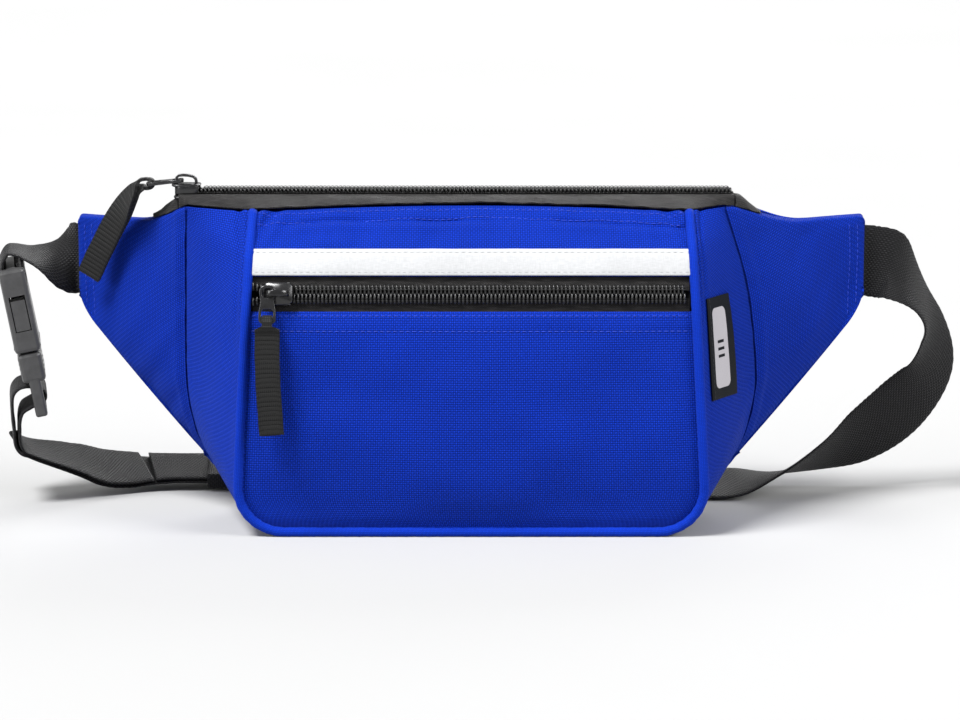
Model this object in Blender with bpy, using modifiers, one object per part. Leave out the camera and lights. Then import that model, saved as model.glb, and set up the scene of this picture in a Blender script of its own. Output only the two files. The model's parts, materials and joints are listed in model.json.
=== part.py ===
"""Waist bag with a zipped front pocket, a zipped main compartment and a buckled waist strap.

Units are metres, +X right, +Y back, +Z up. The origin is the middle of the flat underside.
The bag stands on its base, front towards -Y. The strap lies on the floor behind it.
"""
import math

import bmesh
import bpy
from mathutils import Matrix, Vector

MM = 0.001
GAP = 0.3 * MM                       # clearance wherever two pieces meet

# Bag body
BAG_WIDTH = 236 * MM                 # across the two side seams
BAG_HEIGHT = 133 * MM                # back panel
BAG_DEPTH = 60 * MM                  # underside, front rim to rear face
REAR_Y = 30 * MM                     # rear face of the back panel
PANEL = 1.2 * MM                     # woven panel with its lining
WING_LENGTH = 47 * MM                # side seam to wing end
WING_SWEEP = 15 * MM                 # how far the wing ends bend back
WING_END_HEIGHT = 37 * MM
BACK_FLAT_HALF = 110 * MM            # the back panel is flat this far each side
BASE_HALF = 79 * MM                  # the underside is flat this far each side
BASE_TURN = 12 * MM                  # rounding from the underside into the diagonal edge
SEAM_TOP_INSET_LEFT = 1 * MM         # each side seam leans in towards its top
SEAM_TOP_INSET_RIGHT = 14 * MM
MOUTH_FRONT_Y = 0 * MM               # front of the open top, at the side seams

# Front pocket
POCKET_WIDTH_TOP = 177 * MM
POCKET_WIDTH_BOTTOM = 192 * MM
POCKET_CORNER = 20 * MM
POCKET_CROWN = 4 * MM                # how far the lower panel swells at its middle
POCKET_DEPTH = 11 * MM               # pocket lining behind the front
PIPING_RADIUS = 1.4 * MM

# Zips
TAPE = 0.6 * MM
COIL_HEIGHT = 2.4 * MM
COIL_WIDTH = 3.6 * MM                # one half of the chain
TAPE_SLIT_HALF = 1.5 * MM            # half the slit that a slider's post runs in
FRONT_ZIP_Z = 100.5 * MM
FRONT_TAPE_HALF = 15 * MM
FRONT_ZIP_LIP = 7.2 * MM             # chain centre to the panel edges
STRIPE_WIDTH = 10 * MM
STRIPE = 0.6 * MM
MAIN_ZIP_Y = 9 * MM
MAIN_ZIP_Z = BAG_HEIGHT + 3 * MM      # outer face of the tape
SLIDER_LENGTH = 12 * MM
SLIDER_WIDTH = 9.4 * MM
SLIDER_PLATE = 1.0 * MM
SLIDER_STEP = 0.8 * MM               # the under plate is this much narrower each side
SLIDER_POST = 2.6 * MM
SLIDER_NOSE = 1.2 * MM               # from the slider's front to its post
CROWN_NOSE = 1.2 * MM                # from the slider's ends to its crown
CROWN_LEG = 1.4 * MM
CROWN_BAR = 1.2 * MM
CROWN_HALF = 1.1 * MM
CROWN_RISE = 4.0 * MM
PULLER_LENGTH = 15.5 * MM
PULLER_WIDTH = 7 * MM
PULLER = 1.4 * MM
PULLER_DROOP = math.radians(6)       # the main puller hangs this far below level
RING_HOLE = (4.2 * MM, 3.8 * MM)     # hole around the crown's leg
RING_BAR = 1.2 * MM
EYE = (4.8 * MM, 4.0 * MM)           # hole that the tab passes through
EYE_BAR = 2.0 * MM
TAB_WIDTH = 10 * MM
TAB = 2.6 * MM

# Strap and buckle
STRAP_WIDTH = 30 * MM
STRAP = 1.5 * MM
LAYER_STEP = STRAP + GAP
BUCKLE_LENGTH = 64 * MM
SOCKET_LENGTH = 36 * MM
BUCKLE_RAIL = 4 * MM                 # solid edge beside the webbing slots
BUCKLE_THICKNESS = 11 * MM
BUCKLE_LEAN = math.radians(10.8)     # its foot swings in towards the bag
BUCKLE_YAW = math.radians(7.4)
PLUG_SHOULDER_END = 49 * MM          # the ladder lock starts here
LADDER_THICKNESS = 5 * MM
CAVITY_START = 12 * MM
CAVITY_FACE = 3.4 * MM               # half the depth of the socket's cavity
ARM_ROOT = SOCKET_LENGTH + GAP
ARM_INNER = 10.5 * MM                # buckle's middle to a sprung arm
KEEPER_LENGTH = 19 * MM
KEEPER = 1.3 * MM
KEEPER_X = -104 * MM
LABEL_HEIGHT = 42 * MM

BLUE = (0.013, 0.047, 0.42, 1)
BLACK = (0.012, 0.012, 0.014, 1)
CHARCOAL = (0.03, 0.03, 0.032, 1)
WHITE = (0.86, 0.87, 0.88, 1)


# ---------------------------------------------------------------- helpers

def clear_scene():
    for item in list(bpy.data.objects):
        bpy.data.objects.remove(item, do_unlink=True)


def new_collection(name):
    collection = bpy.data.collections.new(name)
    bpy.context.scene.collection.children.link(collection)
    return collection


def principled(name, colour, roughness, metallic=0.0):
    finish = bpy.data.materials.new(name)
    finish.use_nodes = True
    shader = finish.node_tree.nodes["Principled BSDF"]
    shader.inputs["Base Color"].default_value = colour
    shader.inputs["Roughness"].default_value = roughness
    shader.inputs["Metallic"].default_value = metallic
    finish.diffuse_color = colour
    return finish


def add_object(name, data, finish, parent=None):
    item = bpy.data.objects.new(name, data)
    if finish:
        data.materials.append(finish)
    PARTS.objects.link(item)
    item.parent = parent
    return item


def add_empty(name, place, turn=None, parent=None):
    item = bpy.data.objects.new(name, None)
    item.empty_display_size = 10 * MM
    PARTS.objects.link(item)
    item.parent = parent
    item.matrix_basis = Matrix.Translation(place) @ (turn or Matrix())
    return item


def lerp(a, b, t):
    return a + (b - a) * t


def smoothstep(a, b, x):
    t = min(1.0, max(0.0, (x - a) / (b - a)))
    return t * t * (3 - 2 * t)


def box_bmesh(bm, low, high):
    middle = (Vector(low) + Vector(high)) / 2
    size = Vector(high) - Vector(low)
    matrix = Matrix.Translation(middle) @ Matrix.Diagonal((*size, 1))
    return bmesh.ops.create_cube(bm, size=1, matrix=matrix)


def box(name, low, high, finish, parent=None, bevel=0.0):
    mesh = bpy.data.meshes.new(name)
    bm = bmesh.new()
    box_bmesh(bm, low, high)
    bm.to_mesh(mesh)
    bm.free()
    item = add_object(name, mesh, finish, parent)
    if bevel:
        round_edges(item, bevel)
    return item


def round_edges(item, width, segments=2):
    bevel = item.modifiers.new("Round edges", "BEVEL")
    bevel.width = width
    bevel.segments = segments
    bevel.limit_method = "ANGLE"
    bevel.angle_limit = math.radians(40)


def boolean(item, operation, name, low, high, bevel=0.0):
    tool = box(f"{item.name}_{name}", low, high, None, item.parent, bevel)
    PARTS.objects.unlink(tool)
    CUTTERS.objects.link(tool)
    tool.hide_render = True
    tool.display_type = "WIRE"
    step = item.modifiers.new(name, "BOOLEAN")
    step.operation = operation
    step.object = tool
    step.solver = "EXACT"


def bent_sheet(name, columns, rows, place, thickness, finish, offset=-1.0):
    """A grid laid over place(u, v) with u, v in 0..1, then given its thickness.

    The face that looks along du x dv is the outer one.
    """
    mesh = bpy.data.meshes.new(name)
    bm = bmesh.new()
    bmesh.ops.create_grid(bm, x_segments=columns, y_segments=rows, size=0.5)
    for vertex in bm.verts:
        vertex.co = place(vertex.co.x + 0.5, vertex.co.y + 0.5)
    bm.to_mesh(mesh)
    bm.free()
    mesh.shade_smooth()
    sheet = add_object(name, mesh, finish)
    solidify = sheet.modifiers.new("Thickness", "SOLIDIFY")
    solidify.thickness = thickness
    solidify.offset = offset
    return sheet


def flat_plate(name, outlines, thickness, finish, parent=None):
    """A flat outline in local XY with holes, centred on its thickness."""
    curve = bpy.data.curves.new(name, "CURVE")
    curve.dimensions = "2D"
    curve.fill_mode = "BOTH"
    curve.extrude = thickness / 2
    for outline in outlines:
        spline = curve.splines.new("POLY")
        spline.points.add(len(outline) - 1)
        for point, (x, y) in zip(spline.points, outline):
            point.co = (x, y, 0, 1)
        spline.use_cyclic_u = True
    return add_object(name, curve, finish, parent)


def rounded_outline(centre, size, radius, steps=4):
    """Corner points of a rounded rectangle, anticlockwise."""
    points = []
    for turn, (sx, sy) in enumerate(((1, 1), (-1, 1), (-1, -1), (1, -1))):
        cx = centre[0] + sx * (size[0] / 2 - radius)
        cy = centre[1] + sy * (size[1] / 2 - radius)
        for step in range(steps + 1):
            angle = math.pi / 2 * (turn + step / steps)
            points.append((cx + radius * math.cos(angle), cy + radius * math.sin(angle)))
    return points


class Route:
    """A smooth curve through stations of a centre point and a width direction."""

    def __init__(self, stations):
        self.centres = [Vector(centre) for centre, _ in stations]
        self.widths = [Vector(width).normalized() for _, width in stations]
        self.marks = [0.0]
        for a, b in zip(self.centres, self.centres[1:]):
            self.marks.append(self.marks[-1] + (b - a).length)

    def read(self, values, s):
        marks = self.marks
        last = len(marks) - 1
        i = max(0, min(last - 1, sum(mark <= s for mark in marks) - 1))
        span = marks[i + 1] - marks[i]
        t = (s - marks[i]) / span

        def slope(k):
            a, b = max(0, k - 1), min(last, k + 1)
            return (values[b] - values[a]) / (marks[b] - marks[a]) * span

        return (values[i] * (2 * t**3 - 3 * t**2 + 1) + slope(i) * (t**3 - 2 * t**2 + t)
                + values[i + 1] * (3 * t**2 - 2 * t**3) + slope(i + 1) * (t**3 - t**2))

    def frame(self, t):
        """Centre, width direction and face direction at t in 0..1."""
        s = t * self.marks[-1]
        step = self.marks[-1] * 1e-4
        centre = self.read(self.centres, s)
        along = (self.read(self.centres, min(s + step, self.marks[-1]))
                 - self.read(self.centres, max(s - step, 0))).normalized()
        width = self.read(self.widths, s)
        width = (width - along * along.dot(width)).normalized()
        return centre, width, along.cross(width)


def webbing(name, route, width, thickness, segments, finish, lift=0.0):
    def place(u, v):
        centre, across, face = route.frame(u)
        return centre + across * (v - 0.5) * width + face * lift

    return bent_sheet(name, segments, 1, place, thickness, finish, offset=0.0)


# ---------------------------------------------------------------- body surfaces

WING_END_X = BAG_WIDTH / 2 + WING_LENGTH
WING_TOP_Z = BAG_HEIGHT - 10.5 * MM
WING_LOW_Z = WING_TOP_Z - WING_END_HEIGHT
FRONT_Y = REAR_Y - BAG_DEPTH + 2 * MM        # front rim at the underside
DIAGONAL_START = BASE_HALF + BASE_TURN
DIAGONAL_SLOPE = WING_LOW_Z / (WING_END_X - DIAGONAL_START)
SEAM_END_X = BASE_HALF + 2 * BASE_TURN + 1 * MM
BACK_INNER_Y = REAR_Y - PANEL - GAP          # what meets the back panel stops here


def back_y(x):
    """Rear face of the back panel."""
    over = max(0.0, abs(x) - BACK_FLAT_HALF) / (WING_END_X - BACK_FLAT_HALF)
    return REAR_Y + WING_SWEEP * over**2


def inside_back(x, depth):
    """The Y of a layer that lies depth in front of the back panel's rear face."""
    over = max(0.0, abs(x) - BACK_FLAT_HALF) / (WING_END_X - BACK_FLAT_HALF)
    slope = 2 * WING_SWEEP * over / (WING_END_X - BACK_FLAT_HALF)
    return back_y(x) - depth * math.sqrt(1 + slope**2)


def lower_outline(x):
    """Height of the bag's lower edge: flat base, a turn, then the diagonal to the wing end."""
    run = abs(x) - BASE_HALF
    if run <= 0:
        return 0.0
    if run < 2 * BASE_TURN:
        return DIAGONAL_SLOPE * run**2 / (4 * BASE_TURN)
    return DIAGONAL_SLOPE * (run - BASE_TURN)


def back_top(x):
    shoulder = BAG_WIDTH / 2 - 21 * MM
    return lerp(BAG_HEIGHT, WING_TOP_Z, smoothstep(shoulder, shoulder + 40 * MM, abs(x)))


PROFILE = Route([((0, y * MM, z * BAG_HEIGHT / 133), (1, 0, 0)) for y, z in (
    (0, 0), (-5, 30), (-6, 60), (-5.5, 93), (-1.7, 109), (1.7, 117), (9.5, 124.5), (20, 133.4))])


def front_y(z):
    """Front surface of the pocket at its rim, found by height."""
    low, high = 0.0, 1.0
    for _ in range(24):
        middle = (low + high) / 2
        if PROFILE.read(PROFILE.centres, middle * PROFILE.marks[-1]).z < z:
            low = middle
        else:
            high = middle
    return FRONT_Y + PROFILE.read(PROFILE.centres, low * PROFILE.marks[-1]).y


def pocket_half(z, inset=0.0):
    """Half width of the pocket's outline at height z, moved in by inset."""
    side = lerp(POCKET_WIDTH_BOTTOM, POCKET_WIDTH_TOP, z / BAG_HEIGHT) / 2 - inset
    radius = POCKET_CORNER - inset
    floor = RIM_Z + inset
    drop = max(0.0, radius - (z - floor))
    return side - radius + math.sqrt(max(0.0, radius**2 - drop**2))


RIM_CLEAR = PIPING_RADIUS + GAP
RIM_Z = RIM_CLEAR                            # piping's centre at the underside
PANEL_TOP_MIDDLE = BAG_HEIGHT + 0.4 * MM
PANEL_TOP_DROP = 2.4 * MM
RIM_TOP_Z = PANEL_TOP_MIDDLE - PANEL_TOP_DROP


def panel_top(x):
    return PANEL_TOP_MIDDLE - PANEL_TOP_DROP * (x / (POCKET_WIDTH_TOP / 2))**2


def front_crown(across, z):
    """Swell of the lower panel: none along its edges, most in the middle."""
    up = (z - RIM_Z) / (FRONT_ZIP_Z - FRONT_ZIP_LIP - RIM_Z)
    return POCKET_CROWN * (1 - across**2) * max(0.0, 4 * up * (1 - up))


SIDE_STEPS, CORNER_STEPS, BASE_STEPS = 7, 8, 4


def rim_half(inset):
    """Right half of the pocket's outline from the top down to the base, as (x, z)."""
    radius = POCKET_CORNER - inset
    knee = RIM_Z + POCKET_CORNER
    points = []
    for i in range(SIDE_STEPS):
        z = lerp(RIM_TOP_Z, knee, i / SIDE_STEPS)
        points.append((pocket_half(z, inset), z))
    for i in range(CORNER_STEPS + 1):
        angle = math.pi / 2 * i / CORNER_STEPS
        z = knee - radius * math.sin(angle)
        points.append((pocket_half(max(z, RIM_Z + inset), inset), z))
    return points


def rim(inset, back):
    """The whole outline, left top to right top, set back from the front surface."""
    half = rim_half(inset)
    run = half[-1][0]
    base = [(lerp(-run, run, i / BASE_STEPS), half[-1][1]) for i in range(1, BASE_STEPS)]
    outline = [(-x, z) for x, z in half] + base + half[::-1]
    return [Vector((x, front_y(max(z, 0)) + back, z)) for x, z in outline]


def seam_route(side):
    """A side seam from the top of the bag down to the back panel's lower edge."""
    inset = SEAM_TOP_INSET_LEFT if side < 0 else SEAM_TOP_INSET_RIGHT
    wide = BAG_WIDTH / 2
    tall = BAG_HEIGHT / 133
    end_y = BACK_INNER_Y
    stations = [
        (wide - inset, MOUTH_FRONT_Y, BAG_HEIGHT - 1.5 * MM),
        (wide - 0.3 * inset, MOUTH_FRONT_Y + 5 * MM, 98 * tall),
        (wide, MOUTH_FRONT_Y + 7.5 * MM, 60 * tall),
        (wide - 1.5 * MM, lerp(MOUTH_FRONT_Y, end_y, 0.42), 44 * tall),
        (lerp(wide, SEAM_END_X, 0.42), lerp(MOUTH_FRONT_Y, end_y, 0.68), 28 * tall),
        (SEAM_END_X, end_y, lower_outline(SEAM_END_X)),
    ]
    return Route([((side * x, y, z), (1, 0, 0)) for x, y, z in stations])


SEAMS = {side: seam_route(side) for side in (-1, 1)}
SEAM_SHARE = 0.55                            # of a side seam lies beside the pocket's straight side


def seam_point(side, t):
    route = SEAMS[side]
    return route.read(route.centres, t * route.marks[-1])


def gusset_back_half(side):
    """Rear edge of the gusset, matched point for point to rim_half."""
    corner_share = 0.55
    points = [seam_point(side, SEAM_SHARE * i / SIDE_STEPS) for i in range(SIDE_STEPS)]
    for i in range(CORNER_STEPS + 1):
        t = i / CORNER_STEPS
        if t < corner_share:
            points.append(seam_point(side, lerp(SEAM_SHARE, 1.0, t / corner_share)))
        else:
            x = lerp(SEAM_END_X, BASE_HALF, (t - corner_share) / (1 - corner_share))
            points.append(Vector((side * x, BACK_INNER_Y, lower_outline(x))))
    return points


# ---------------------------------------------------------------- fabric shells

def make_back_panel():
    def place(u, v):
        x = lerp(WING_END_X, -WING_END_X, u)
        return Vector((x, back_y(x), lerp(lower_outline(x), back_top(x), v)))

    bent_sheet("back_panel", 32, 4, place, PANEL, BLUE_CLOTH)


def make_gusset():
    front = rim(-RIM_CLEAR, RIM_CLEAR)
    left, right = gusset_back_half(-1), gusset_back_half(1)
    run = left[-1].x
    base = [Vector((lerp(run, -run, i / BASE_STEPS), BACK_INNER_Y, 0))
            for i in range(1, BASE_STEPS)]
    back = left + base + right[::-1]
    columns = len(front) - 1

    def place(u, v):
        i = round(u * columns)
        return back[i].lerp(front[i], v)

    bent_sheet("pocket_gusset", columns, 2, place, PANEL, BLUE_CLOTH)


def front_point(x, z, lift=0.0):
    """A point of the front surface at height z, raised off it by lift."""
    step = 0.2 * MM
    tilt = (front_y(z + step) - front_y(z - step)) / (2 * step)
    outward = Vector((0, -1, tilt)).normalized()
    return Vector((x, front_y(z), z)) + outward * lift


def make_front_panels():
    bottom, lower_top = RIM_Z + RIM_CLEAR, FRONT_ZIP_Z - FRONT_ZIP_LIP
    knee, turn = bottom + POCKET_CORNER - RIM_CLEAR, 0.4

    def place_lower(u, v):
        if v < turn:
            z = lerp(bottom, knee, 1 - math.cos(v / turn * math.pi / 2))
        else:
            z = lerp(knee, lower_top, (v - turn) / (1 - turn))
        across = 2 * u - 1
        point = front_point(across * pocket_half(z, RIM_CLEAR), z)
        point.y -= front_crown(across, z)
        return point

    bent_sheet("front_panel_lower", 12, 12, place_lower, PANEL, BLUE_CLOTH)

    def place_upper(u, v):
        across = 2 * u - 1
        z = lerp(FRONT_ZIP_Z + FRONT_ZIP_LIP, panel_top(across * POCKET_WIDTH_TOP / 2), v)
        return front_point(across * pocket_half(z, RIM_CLEAR), z)

    bent_sheet("front_panel_upper", 12, 8, place_upper, PANEL, BLUE_CLOTH)

    def place_stripe(u, v):
        across = 2 * u - 1
        z = FRONT_ZIP_Z + FRONT_ZIP_LIP + v * STRIPE_WIDTH
        return front_point(across * pocket_half(z, RIM_CLEAR), z, GAP + STRIPE)

    bent_sheet("contrast_stripe", 12, 4, place_stripe, STRIPE, STRIPE_CLOTH)


def make_divider():
    low, high = RIM_Z + RIM_CLEAR + 1 * MM, panel_top(0) - 8 * MM

    def place(u, v):
        across = 2 * u - 1
        z = lerp(low, high, v)
        room = (1 - abs(across)**8) * (1 - abs(2 * v - 1)**6)
        x = across * pocket_half(z, RIM_CLEAR + 0.5 * MM)
        return front_point(x, z, -(PANEL + TAPE + 3 * GAP + POCKET_DEPTH * room))

    bent_sheet("pocket_divider", 16, 12, place, TAPE, LINING)


def make_piping():
    curve = bpy.data.curves.new("pocket_piping", "CURVE")
    curve.dimensions = "3D"
    curve.bevel_depth = PIPING_RADIUS
    curve.bevel_resolution = 2
    curve.use_fill_caps = True
    route = rim(0.0, 0.0)
    spline = curve.splines.new("POLY")
    spline.points.add(len(route) - 1)
    for point, place in zip(spline.points, route):
        point.co = (*place, 1)
    add_object("pocket_piping", curve, BLUE_CLOTH)


WEB_DEPTH = PANEL + 2 * GAP + STRAP / 2         # webbing's middle, in front of the rear face
LAYERS = 2 * WEB_DEPTH + PANEL + 2 * GAP      # back panel, webbing and wing front at a wing end


def wing_point(side, u, v):
    """Outer face of a wing's front: side seam at u = 0, wing end at u = 1."""
    seam = seam_point(side, 1 - v)
    seam_low, seam_top = seam_point(side, 1), seam_point(side, 0)
    share = (seam.z - seam_low.z) / (seam_top.z - seam_low.z)
    x = lerp(abs(seam.x), WING_END_X, u)
    low = lower_outline(lerp(SEAM_END_X, WING_END_X, u))
    top_x = lerp(abs(seam_top.x), WING_END_X, u)
    top = back_top(top_x) + (seam_top.z - back_top(seam_top.x)) * (1 - u)**3
    depth = (inside_back(seam.x, LAYERS - PANEL) - seam.y) * (1 - u)**(1.3 + 0.9 * v**6)
    y = inside_back(x, LAYERS) - max(0.0, depth)
    return Vector((side * x, y, lerp(low, top, share)))


def make_wing(side, name):
    def place(u, v):
        across = u if side > 0 else 1 - u
        start = (1.5 * MM + 3.5 * MM * (1 - v)**5) / WING_LENGTH
        return wing_point(side, lerp(start, 1, across), v)

    bent_sheet(name, 10, 10, place, PANEL, BLUE_CLOTH)


def gusset_point(side, z, v):
    """Outer face of the gusset on the pocket's side, from the pocket's rim to the side seam."""
    knee = RIM_Z + POCKET_CORNER
    front = front_point(side * pocket_half(z, -RIM_CLEAR), z)
    front.y += RIM_CLEAR
    return front.lerp(seam_point(side, SEAM_SHARE * (RIM_TOP_Z - z) / (RIM_TOP_Z - knee)), v)


def make_label():
    low = BAG_HEIGHT * 0.42
    start, end = 0.12, 0.58              # shares of the gusset's depth

    def place(u, v):
        level, share = low + v * LABEL_HEIGHT, lerp(start, end, u)
        z = level
        for _ in range(4):
            z += level - gusset_point(1, z, share).z
        point = gusset_point(1, z, share)
        along = gusset_point(1, z, 1) - gusset_point(1, z, 0)
        outward = Vector((0, 0, 1)).cross(along).normalized() * -1
        return point + outward * (2 * GAP + STRIPE)

    bent_sheet("side_label", 3, 6, place, STRIPE, LABEL_CLOTH)


# ---------------------------------------------------------------- zips

def make_front_zip():
    half = pocket_half(FRONT_ZIP_Z, RIM_CLEAR)
    slit_low, slit_high = FRONT_ZIP_Z - TAPE_SLIT_HALF, FRONT_ZIP_Z + TAPE_SLIT_HALF
    behind = PANEL + GAP

    def tape(low, high):
        def place(u, v):
            return front_point((2 * u - 1) * (half - 1.5 * MM), lerp(low, high, v), -behind)
        return place

    lowest, highest = FRONT_ZIP_Z - FRONT_TAPE_HALF, FRONT_ZIP_Z + FRONT_TAPE_HALF
    bent_sheet("front_zip_tape_lower", 4, 3, tape(lowest, slit_low), TAPE, TAPE_CLOTH)
    bent_sheet("front_zip_tape_upper", 4, 3, tape(slit_high, highest), TAPE, TAPE_CLOTH)

    lower, upper = front_point(0, slit_low, -behind), front_point(0, slit_high, -behind)
    lean = math.atan2(upper.y - lower.y, upper.z - lower.z)
    turn = Matrix.Rotation(math.pi / 2 - lean, 4, "X")
    chain = add_empty("front_zip_frame", (lower + upper) / 2, turn)
    ends = (-half + 9 * MM, half - 2 * MM)
    make_coils("front_zip_coil", chain, ends, ("lower", "upper"))
    leg = make_slider("front_slider", chain, ends[0])
    pivot = add_empty("front_puller_axis", leg, Matrix.Rotation(math.pi, 4, "Z"), chain)
    bar = make_puller("front_puller", pivot)
    sideways = (1, 0, 0)
    hang = (((0, -1.2, -12), sideways), ((0.6, -2.4, -27), sideways), ((1.6, -3.0, -43), sideways))
    frame = chain.matrix_basis @ pivot.matrix_basis
    make_pull_tab("front_pull_tab", hanging_route(frame, bar, sideways, hang))


def hanging_route(frame, bar, width, hang):
    """A tab's route: along the puller over its bar, then steps given from there in millimetres."""
    start, clear = frame @ bar, frame @ (bar + Vector((0, EYE_BAR + 0.8 * MM, 0)))
    steps = [(clear + Vector(step) * MM, across) for step, across in hang]
    return Route([(start, width), (clear, width)] + steps)


def make_coils(name, chain, ends, labels):
    """The two halves of a chain, in its frame: X along it, Y across, Z out of the bag."""
    for label, sign in zip(labels, (-1, 1)):
        near, far = GAP / 2 * sign, (GAP / 2 + COIL_WIDTH) * sign
        low = (ends[0], min(near, far), GAP)
        high = (ends[1], max(near, far), GAP + COIL_HEIGHT)
        box(f"{name}_{label}", low, high, COIL, chain, bevel=0.8 * MM)


def make_slider(name, chain, coil_end):
    """A slider closed towards -X: two plates joined by the post ahead of the chain.

    Returns the middle of its crown's leading leg, where the puller's ring sits.
    """
    front = coil_end - GAP - SLIDER_POST - SLIDER_NOSE
    back = front + SLIDER_LENGTH
    wide, narrow = SLIDER_WIDTH / 2, TAPE_SLIT_HALF - GAP
    top = GAP + COIL_HEIGHT + GAP
    low = -(TAPE + GAP)
    half_plate = SLIDER_PLATE / 2
    body = box(name, (front, -wide, top), (back, wide, top + SLIDER_PLATE), METAL, chain)
    boolean(body, "UNION", "post", (front + SLIDER_NOSE, -narrow, low - half_plate),
            (front + SLIDER_NOSE + SLIDER_POST, narrow, top + half_plate))
    boolean(body, "UNION", "under_plate", (front + GAP, -wide + SLIDER_STEP, low - SLIDER_PLATE),
            (back - GAP, wide - SLIDER_STEP, low))
    inner = GAP / 2 + COIL_WIDTH + GAP
    for label, sign in (("near", -1), ("far", 1)):
        ends = sorted((inner * sign, (wide - 0.1 * MM) * sign))
        boolean(body, "UNION", f"flange_{label}", (front + 0.4 * MM, ends[0], GAP),
                (back - 0.1 * MM, ends[1], top + half_plate))
    rise = top + SLIDER_PLATE
    boolean(body, "UNION", "crown", (front + CROWN_NOSE, -CROWN_HALF, rise - half_plate),
            (back - CROWN_NOSE, CROWN_HALF, rise + CROWN_RISE))
    boolean(body, "DIFFERENCE", "crown_eye", (front + CROWN_NOSE + CROWN_LEG, -wide, rise),
            (back - CROWN_NOSE - CROWN_LEG, wide, rise + CROWN_RISE - CROWN_BAR))
    return Vector((front + CROWN_NOSE + CROWN_LEG / 2, 0, rise + (CROWN_RISE - CROWN_BAR) / 2))


def make_puller(name, pivot):
    """A flat pull around the crown's leg at its pivot; local Y points to the tab.

    Returns the middle of the bar that the tab is folded over.
    """
    back = -RING_HOLE[1] / 2 - RING_BAR
    end = back + PULLER_LENGTH
    outline = rounded_outline((0, (back + end) / 2), (PULLER_WIDTH, PULLER_LENGTH), 1.6 * MM)
    ring_hole = rounded_outline((0, 0), RING_HOLE, 1.0 * MM)
    eye = rounded_outline((0, end - EYE_BAR - EYE[1] / 2), EYE, 1.2 * MM)
    flat_plate(name, (outline, ring_hole, eye), PULLER, METAL, pivot)
    return Vector((0, end - EYE_BAR / 2, 0))


def make_pull_tab(name, route):
    """Narrow webbing folded over the puller's bar, both layers lying together below it."""
    layer = (TAB - GAP) / 2
    around = PULLER / 2 + 2 * GAP + layer / 2        # from the bar's middle plane
    over = EYE_BAR / 2 + 2 * GAP + layer / 2         # over the bar, through the eye
    narrow = EYE[0] - 3 * GAP
    fold = 0.16
    length = route.marks[-1]

    def place(u, v):
        side = -1 if u < 0.5 else 1
        down = (abs(2 * u - 1) - fold) / (1 - fold)
        if down < 0:
            angle = (1 - abs(2 * u - 1) / fold) * math.pi / 2
            centre, across, face = route.frame(0)
            along = across.cross(face)
            spot = centre - along * over * math.sin(angle) + face * side * around * math.cos(angle)
            return spot + across * (v - 0.5) * narrow
        centre, across, face = route.frame(down)
        spread = smoothstep(EYE_BAR, EYE_BAR + 4 * MM, down * length)
        offset = lerp(around, (layer + GAP) / 2, spread)
        width = lerp(narrow, TAB_WIDTH, spread)
        return centre + face * side * offset + across * (v - 0.5) * width

    bent_sheet(name, 50, 1, place, layer, WEB, offset=0.0)


def top_edge(x):
    """Front edge of the open top: pocket panel, gusset tops, then the wings' top edges."""
    half = POCKET_WIDTH_TOP / 2
    if abs(x) <= half:
        return front_point(x, panel_top(x))
    side = 1 if x > 0 else -1
    seam = seam_point(side, 0)
    corner = front_point(side * half, RIM_TOP_Z)
    if abs(x) <= abs(seam.x):
        return corner.lerp(seam, (abs(x) - half) / (abs(seam.x) - half))
    return wing_point(side, (abs(x) - abs(seam.x)) / (WING_END_X - abs(seam.x)), 1)


def make_main_zip():
    left, right = seam_point(-1, 0).x - 3 * MM, seam_point(1, 0).x + 4 * MM
    slit_front, slit_back = MAIN_ZIP_Y - TAPE_SLIT_HALF, MAIN_ZIP_Y + TAPE_SLIT_HALF
    level = SLIDER_WIDTH / 2 - TAPE_SLIT_HALF     # level strip beside the chain, for the slider
    lift = Vector((0, 0.7 * MM, 1.1 * MM))

    def place_front(u, v):
        x = lerp(left, right, u)
        if v > 0.4:
            return Vector((x, slit_front - level * (1 - v) / 0.5, MAIN_ZIP_Z))
        edge = top_edge(x) + lift
        edge.y = min(edge.y, slit_front - level - 0.5 * MM)
        return edge

    def place_back(u, v):
        x = lerp(left, right, u)
        if v < 0.6:
            return Vector((x, slit_back + level * v / 0.5, MAIN_ZIP_Z))
        return Vector((x, BACK_INNER_Y, back_top(x)))

    bent_sheet("main_zip_tape_front", 24, 2, place_front, TAPE, TAPE_CLOTH)
    bent_sheet("main_zip_tape_back", 24, 2, place_back, TAPE, TAPE_CLOTH)

    chain = add_empty("main_zip_frame", (0, MAIN_ZIP_Y, MAIN_ZIP_Z))
    ends = (left + 1 * MM, right - 1 * MM)
    make_coils("main_zip_coil", chain, ends, ("front", "back"))
    leg = make_slider("main_slider", chain, ends[0])
    reach = (RING_HOLE[1] + RING_BAR) / 2
    droop = Matrix.Rotation(-PULLER_DROOP, 4, "Y")
    pivot = add_empty("main_puller_axis", leg + Vector((reach, 0, 0)), droop, chain)
    turn = Matrix.Rotation(math.pi / 2, 4, "Z")
    hold = add_empty("main_puller_hold", (-reach, 0, 0), turn, pivot)
    bar = make_puller("main_puller", hold)
    frame = chain.matrix_basis @ pivot.matrix_basis @ hold.matrix_basis
    hang = (((-4, 1, -4), (0.3, -0.9, -0.4)), ((-11, 6, -15), (0.65, -0.35, -0.6)),
            ((-18, 10, -28), (0.7, -0.2, -0.6)), ((-24, 14, -40), (0.75, -0.15, -0.6)))
    make_pull_tab("main_pull_tab", hanging_route(frame, bar, (0, -1, 0), hang))
    make_end_tab("main_zip_end_left", -1, left)
    make_end_tab("main_zip_end_right", 1, right)


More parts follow.
